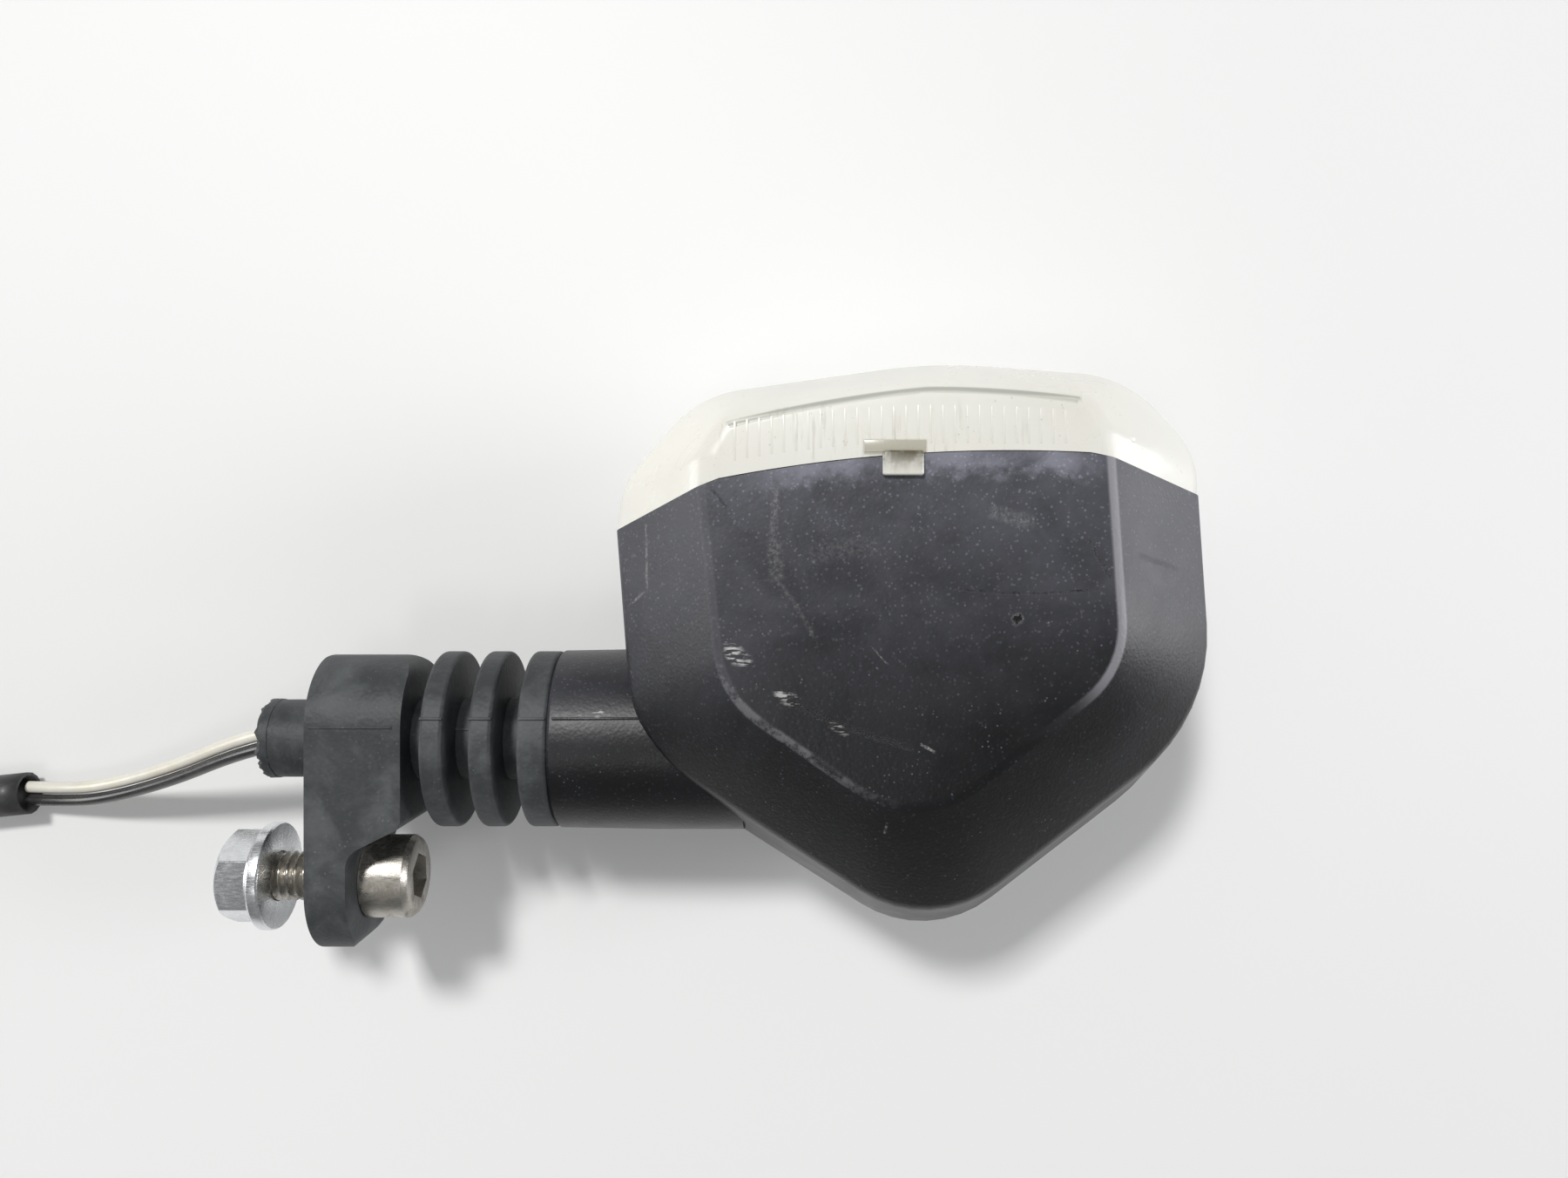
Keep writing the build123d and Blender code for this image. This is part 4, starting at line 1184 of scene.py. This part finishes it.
class TURNSIGNAL_OT_leads(bpy.types.Operator):
    """Lays the two leads, their sleeve with its coil, and the tails with their connectors"""
    bl_idname = "turnsignal.leads"
    bl_label = "Leads"

    def execute(self, context):
        settings = context.scene.turn_signal_leads
        for name, lift, slot in (("wire_white", LEAD_LIFT, "white_insulation"),
                                 ("wire_black", -LEAD_LIFT, "black_insulation")):
            points = [(BOOT_END, lift, 0), (-12.5, lift - 1.25, -2.4), (-24.6, lift - 5.9, -9.0),
                      (-37.0, lift - 9.4, -14.6), (-44.0, lift - 10.0, -16.6),
                      (MOUTH[0], lift - 9.9, MOUTH[2])]
            piece = cord_curve(name + "_lead", points, settings.wire)
            finish(piece, slot)
            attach(piece, "mount")
            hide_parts(name)
            curve_length(piece)
            inner = turned(name + "_in_boot", [(0, 0), (0, 0.8), (18.0, 0.8), (18.0, 0)],
                           mm(BOOT_END, lift, 0), (1, 0, 0), 24)
            settle(inner, name + "_in_boot", 40)
            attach(inner, "mount")
            finish(inner, slot)

        sleeve_z = TABLE_Z / MM + settings.sleeve / 2 / MM
        turned_by = 360 * settings.coil_turns
        steps = int(settings.coil_turns * 26)
        points = [MOUTH, (-60.0, -11.1, sleeve_z), (-70.2, -11.6, sleeve_z)]
        for step in range(steps + 1):
            turn = turned_by * step / steps
            points.append(in_coil(COIL_START - turn, coil_radius(turn, turned_by), sleeve_z))
        sleeve = cord_curve("sleeve", points, settings.sleeve, caps=False)
        wall = sleeve.modifiers.new("Wall", "SOLIDIFY")
        wall.thickness = 0.0005
        wall.offset = -1.0
        finish(sleeve, "sleeve_vinyl")
        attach(sleeve, "mount")
        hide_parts("wire_sleeve", "sleeve_coil")
        curve_length(sleeve)

        end_turn = COIL_START - turned_by
        tails = {
            "tail_white": ([in_coil(end_turn, COIL_INNER, sleeve_z + LEAD_LIFT),
                            in_coil(155, 22.6, TAIL_Z + 1.8), in_coil(131, 21.6, TAIL_Z),
                            in_coil(95, 20.6, TAIL_Z), in_coil(60, 18.6, TAIL_Z + 0.6),
                            (-83.6, 24.0, -17.7)], (0.34, -0.94, 0), "white_insulation"),
            "tail_black": ([in_coil(end_turn, COIL_INNER, sleeve_z - LEAD_LIFT),
                            in_coil(155, 19.8, TAIL_Z + 0.6), in_coil(128, 17.6, TAIL_Z),
                            in_coil(92, 15.8, TAIL_Z), in_coil(55, 13.0, TAIL_Z + 0.6),
                            (-87.4, 19.0, -17.7)], (0.12, -0.99, 0), "black_insulation"),
        }
        covers, bullets = [], []
        for name, (points, way, slot) in tails.items():
            way = Vector(way).normalized()
            start = mm(*points[-1])
            cover = turned(name + "_cover", [(-0.6, 0.9), (-0.6, 1.35), (0, 1.5), (1.2, 2.15), (2.0, 2.3),
                                             (12.0, 2.3), (12.0, 1.98), (-0.2, 0.9)], start, way, 48)
            bullet = turned(name + "_bullet", [(10.5, 0), (10.5, 1.9), (12.6, 1.95), (15.0, 1.95),
                                               (15.3, 1.6), (16.0, 1.6), (16.4, 1.95), (17.8, 1.85),
                                               (18.4, 1.3), (18.5, 0)], start, way, 48)
            settle(cover, name + "_cover", 30)
            settle(bullet, name + "_bullet", 30)
            covers.append(cover)
            bullets.append(bullet)
            piece = cord_curve(name + "_lead", points, settings.wire)
            finish(piece, slot)
            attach(piece, "mount")
            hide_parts(name)
            for end in (cover, bullet):
                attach(end, "mount")
            curve_length(piece)
        for cover in covers:
            finish(cover, "clear_vinyl")
        for bullet in bullets:
            finish(bullet, "tinned_brass")
        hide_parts("connector_covers")
        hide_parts("connector_bullets")
        return {"FINISHED"}


# ---------------------------------------------------------------- inside

# In mm: the leads' ends in the pod, past the part that bends, the leads' diameter and the spring under the
# lamp.
LEAD_ENDS = {
    "live": [(53.0, LEAD_LIFT, 0), (59.0, -6.0, 0), (63.4, -14.9, 0), (69.6, -14.9, 0)],
    "ground": [(48.2, -LEAD_LIFT, 0), (53.0, -1.3, 3.6), (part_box("lead_ground")[1].x / MM, -3.0, 4.0)],
}
WIRE_DIAMETER = 1.6
SPRING_WIRE = 0.9
SPRING_RADIUS = 4.6
SPRING_LAPS = 4
SPRING_STEPS = 96


class TURNSIGNAL_OT_inside(bpy.types.Operator):
    """Builds the leads where the stem bends and the lamp's spring, and finishes the rest inside"""
    bl_idname = "turnsignal.inside"
    bl_label = "Inside"

    def execute(self, context):
        slots = {part["node"]: part["material_slot"] for part in frame["record"]["subparts"]}
        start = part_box("stem_lead_live")[0].x / MM
        bend = [RIBS_HIGH.x / MM + step * 0.35 for step in range(1, 8)]
        for name, lift in (("live", LEAD_LIFT), ("ground", -LEAD_LIFT)):
            through = [(x, lift, 0) for x in [start] + bend[:4]]
            onward = [(x, lift, 0) for x in bend[3:]] + LEAD_ENDS[name]
            for node, points in (("stem_lead_" + name, through), ("lead_" + name, onward)):
                wire = solid_copy(cord_curve(node + "_wire", points, WIRE_DIAMETER * MM))
                settle(wire, node + "_wire", 40)
                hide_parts(node)
                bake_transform(wire)
                finish(wire, slots[node])
        low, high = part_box("contact_spring")
        lamp_x = (low.x + high.x) / 2 / MM
        lowest, tallest = low.y / MM + SPRING_WIRE / 2, (high.y - low.y) / MM - SPRING_WIRE
        shares = [step / SPRING_STEPS for step in range(SPRING_STEPS + 1)]
        winding = [(lamp_x + SPRING_RADIUS * cos(2 * pi * SPRING_LAPS * share), lowest + tallest * share,
                    SPRING_RADIUS * sin(2 * pi * SPRING_LAPS * share)) for share in shares]
        coil = solid_copy(cord_curve("contact_spring_coil", winding, SPRING_WIRE * MM))
        settle(coil, "contact_spring_coil", 40)
        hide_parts("contact_spring")
        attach(coil, "pod")
        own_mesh(coil)
        finish(coil, slots["contact_spring"])
        for node, piece in frame["nodes"].items():
            if not piece.hide_render:
                finish(piece, slots[node])
        return {"FINISHED"}


# ---------------------------------------------------------------- stage

class TURNSIGNAL_OT_stage(bpy.types.Operator):
    """Sets the table, the soft light and the camera"""
    bl_idname = "turnsignal.stage"
    bl_label = "Stage"

    def execute(self, context):
        scene = context.scene
        settings = scene.turn_signal_stage
        bpy.ops.mesh.primitive_plane_add(size=3.0, location=(0, 0, TABLE_Z))
        table = context.object
        table.name = "table"
        material, tree, shader, where = new_finish("Table Top", settings.table, 0.55)
        drift = noise(tree, where, 9.0, 3.0)
        tree.links.new(mix(tree, drift, settings.table, [0.97 * value for value in settings.table]),
                       shader.inputs["Base Color"])
        table.data.materials.append(material)

        world = bpy.data.worlds.new("Studio")
        scene.world = world
        world.use_nodes = True
        sky = world.node_tree.nodes["Background"]
        sky.inputs["Color"].default_value = (0.99, 1.0, 1.0, 1)
        sky.inputs["Strength"].default_value = 0.21

        # name, place, size, power and colour
        lights = [("over", (-0.32, 0.72, 1.25), 0.20, 14.2, (1.0, 0.995, 0.98)),
                  ("low", (-0.20, -0.36, 1.10), 0.26, 0.9, (1.0, 1.0, 1.0)),
                  ("right", (0.95, 0.08, 0.50), 0.30, 1.5, (0.98, 0.98, 1.0)),
                  ("side", (0.80, 0.05, 0.14), 0.34, 2.1, (0.97, 0.97, 1.0)),
                  ("left", (-0.80, 0.05, 0.28), 0.40, 2.3, (1.0, 1.0, 1.0))]
        target = mm(60, 5, 0)
        for name, place, size, power, color in lights:
            data = bpy.data.lights.new(name, "AREA")
            data.shape = "SQUARE"
            data.size = size
            data.energy = power
            data.color = color
            # the left light would lay the coil's shadow across the table's edge
            data.use_shadow = name != "left"
            lamp = bpy.data.objects.new(name, data)
            scene.collection.objects.link(lamp)
            lamp.location = place
            lamp.rotation_euler = (target - Vector(place)).to_track_quat("-Z", "Y").to_euler()

        optics = bpy.data.cameras.new("camera")
        optics.sensor_width = 36.0
        optics.lens = settings.focal_length
        optics.clip_start = 0.005
        camera = bpy.data.objects.new("camera", optics)
        scene.collection.objects.link(camera)
        camera.location = (0.0558, 0.0184, settings.camera_height)
        scene.camera = camera
        scene.view_settings.view_transform = "Standard"
        return {"FINISHED"}


class TURNSIGNAL_PT_panel(bpy.types.Panel):
    """Lists the pieces and their settings"""
    bl_idname = "TURNSIGNAL_PT_panel"
    bl_label = "Turn Signal"
    bl_space_type = "VIEW_3D"
    bl_region_type = "UI"
    bl_category = "Turn Signal"

    def draw(self, context):
        for operator in OPERATORS:
            self.layout.operator(operator.bl_idname)
        for name in SETTINGS:
            group = getattr(context.scene, name)
            for field in group.bl_rna.properties:
                if not field.is_readonly and field.identifier != "name":
                    self.layout.prop(group, field.identifier)


SETTINGS = {
    "turn_signal_housing": HousingSettings,
    "turn_signal_lens": LensSettings,
    "turn_signal_stem": StemSettings,
    "turn_signal_fixing": FixingSettings,
    "turn_signal_leads": LeadSettings,
    "turn_signal_stage": StageSettings,
}
OPERATORS = (
    TURNSIGNAL_OT_stage,
    TURNSIGNAL_OT_leads,
    TURNSIGNAL_OT_housing,
    TURNSIGNAL_OT_lens,
    TURNSIGNAL_OT_stem,
    TURNSIGNAL_OT_bolt,
    TURNSIGNAL_OT_nut,
    TURNSIGNAL_OT_inside,
)


def register():
    for name, group in SETTINGS.items():
        bpy.utils.register_class(group)
        setattr(bpy.types.Scene, name, bpy.props.PointerProperty(type=group))
    for operator in OPERATORS:
        bpy.utils.register_class(operator)
    bpy.utils.register_class(TURNSIGNAL_PT_panel)


def unregister():
    bpy.utils.unregister_class(TURNSIGNAL_PT_panel)
    for operator in reversed(OPERATORS):
        bpy.utils.unregister_class(operator)
    for name, group in SETTINGS.items():
        delattr(bpy.types.Scene, name)
        bpy.utils.unregister_class(group)


def main():
    register()
    FINISHES.update(make_finishes())
    bpy.ops.turnsignal.stage()
    bpy.ops.turnsignal.leads()
    bpy.ops.turnsignal.housing()
    bpy.ops.turnsignal.lens()
    bpy.ops.turnsignal.stem()
    bpy.ops.turnsignal.bolt()
    bpy.ops.turnsignal.nut()
    bpy.ops.turnsignal.inside()


if __name__ == "__main__":
    main()
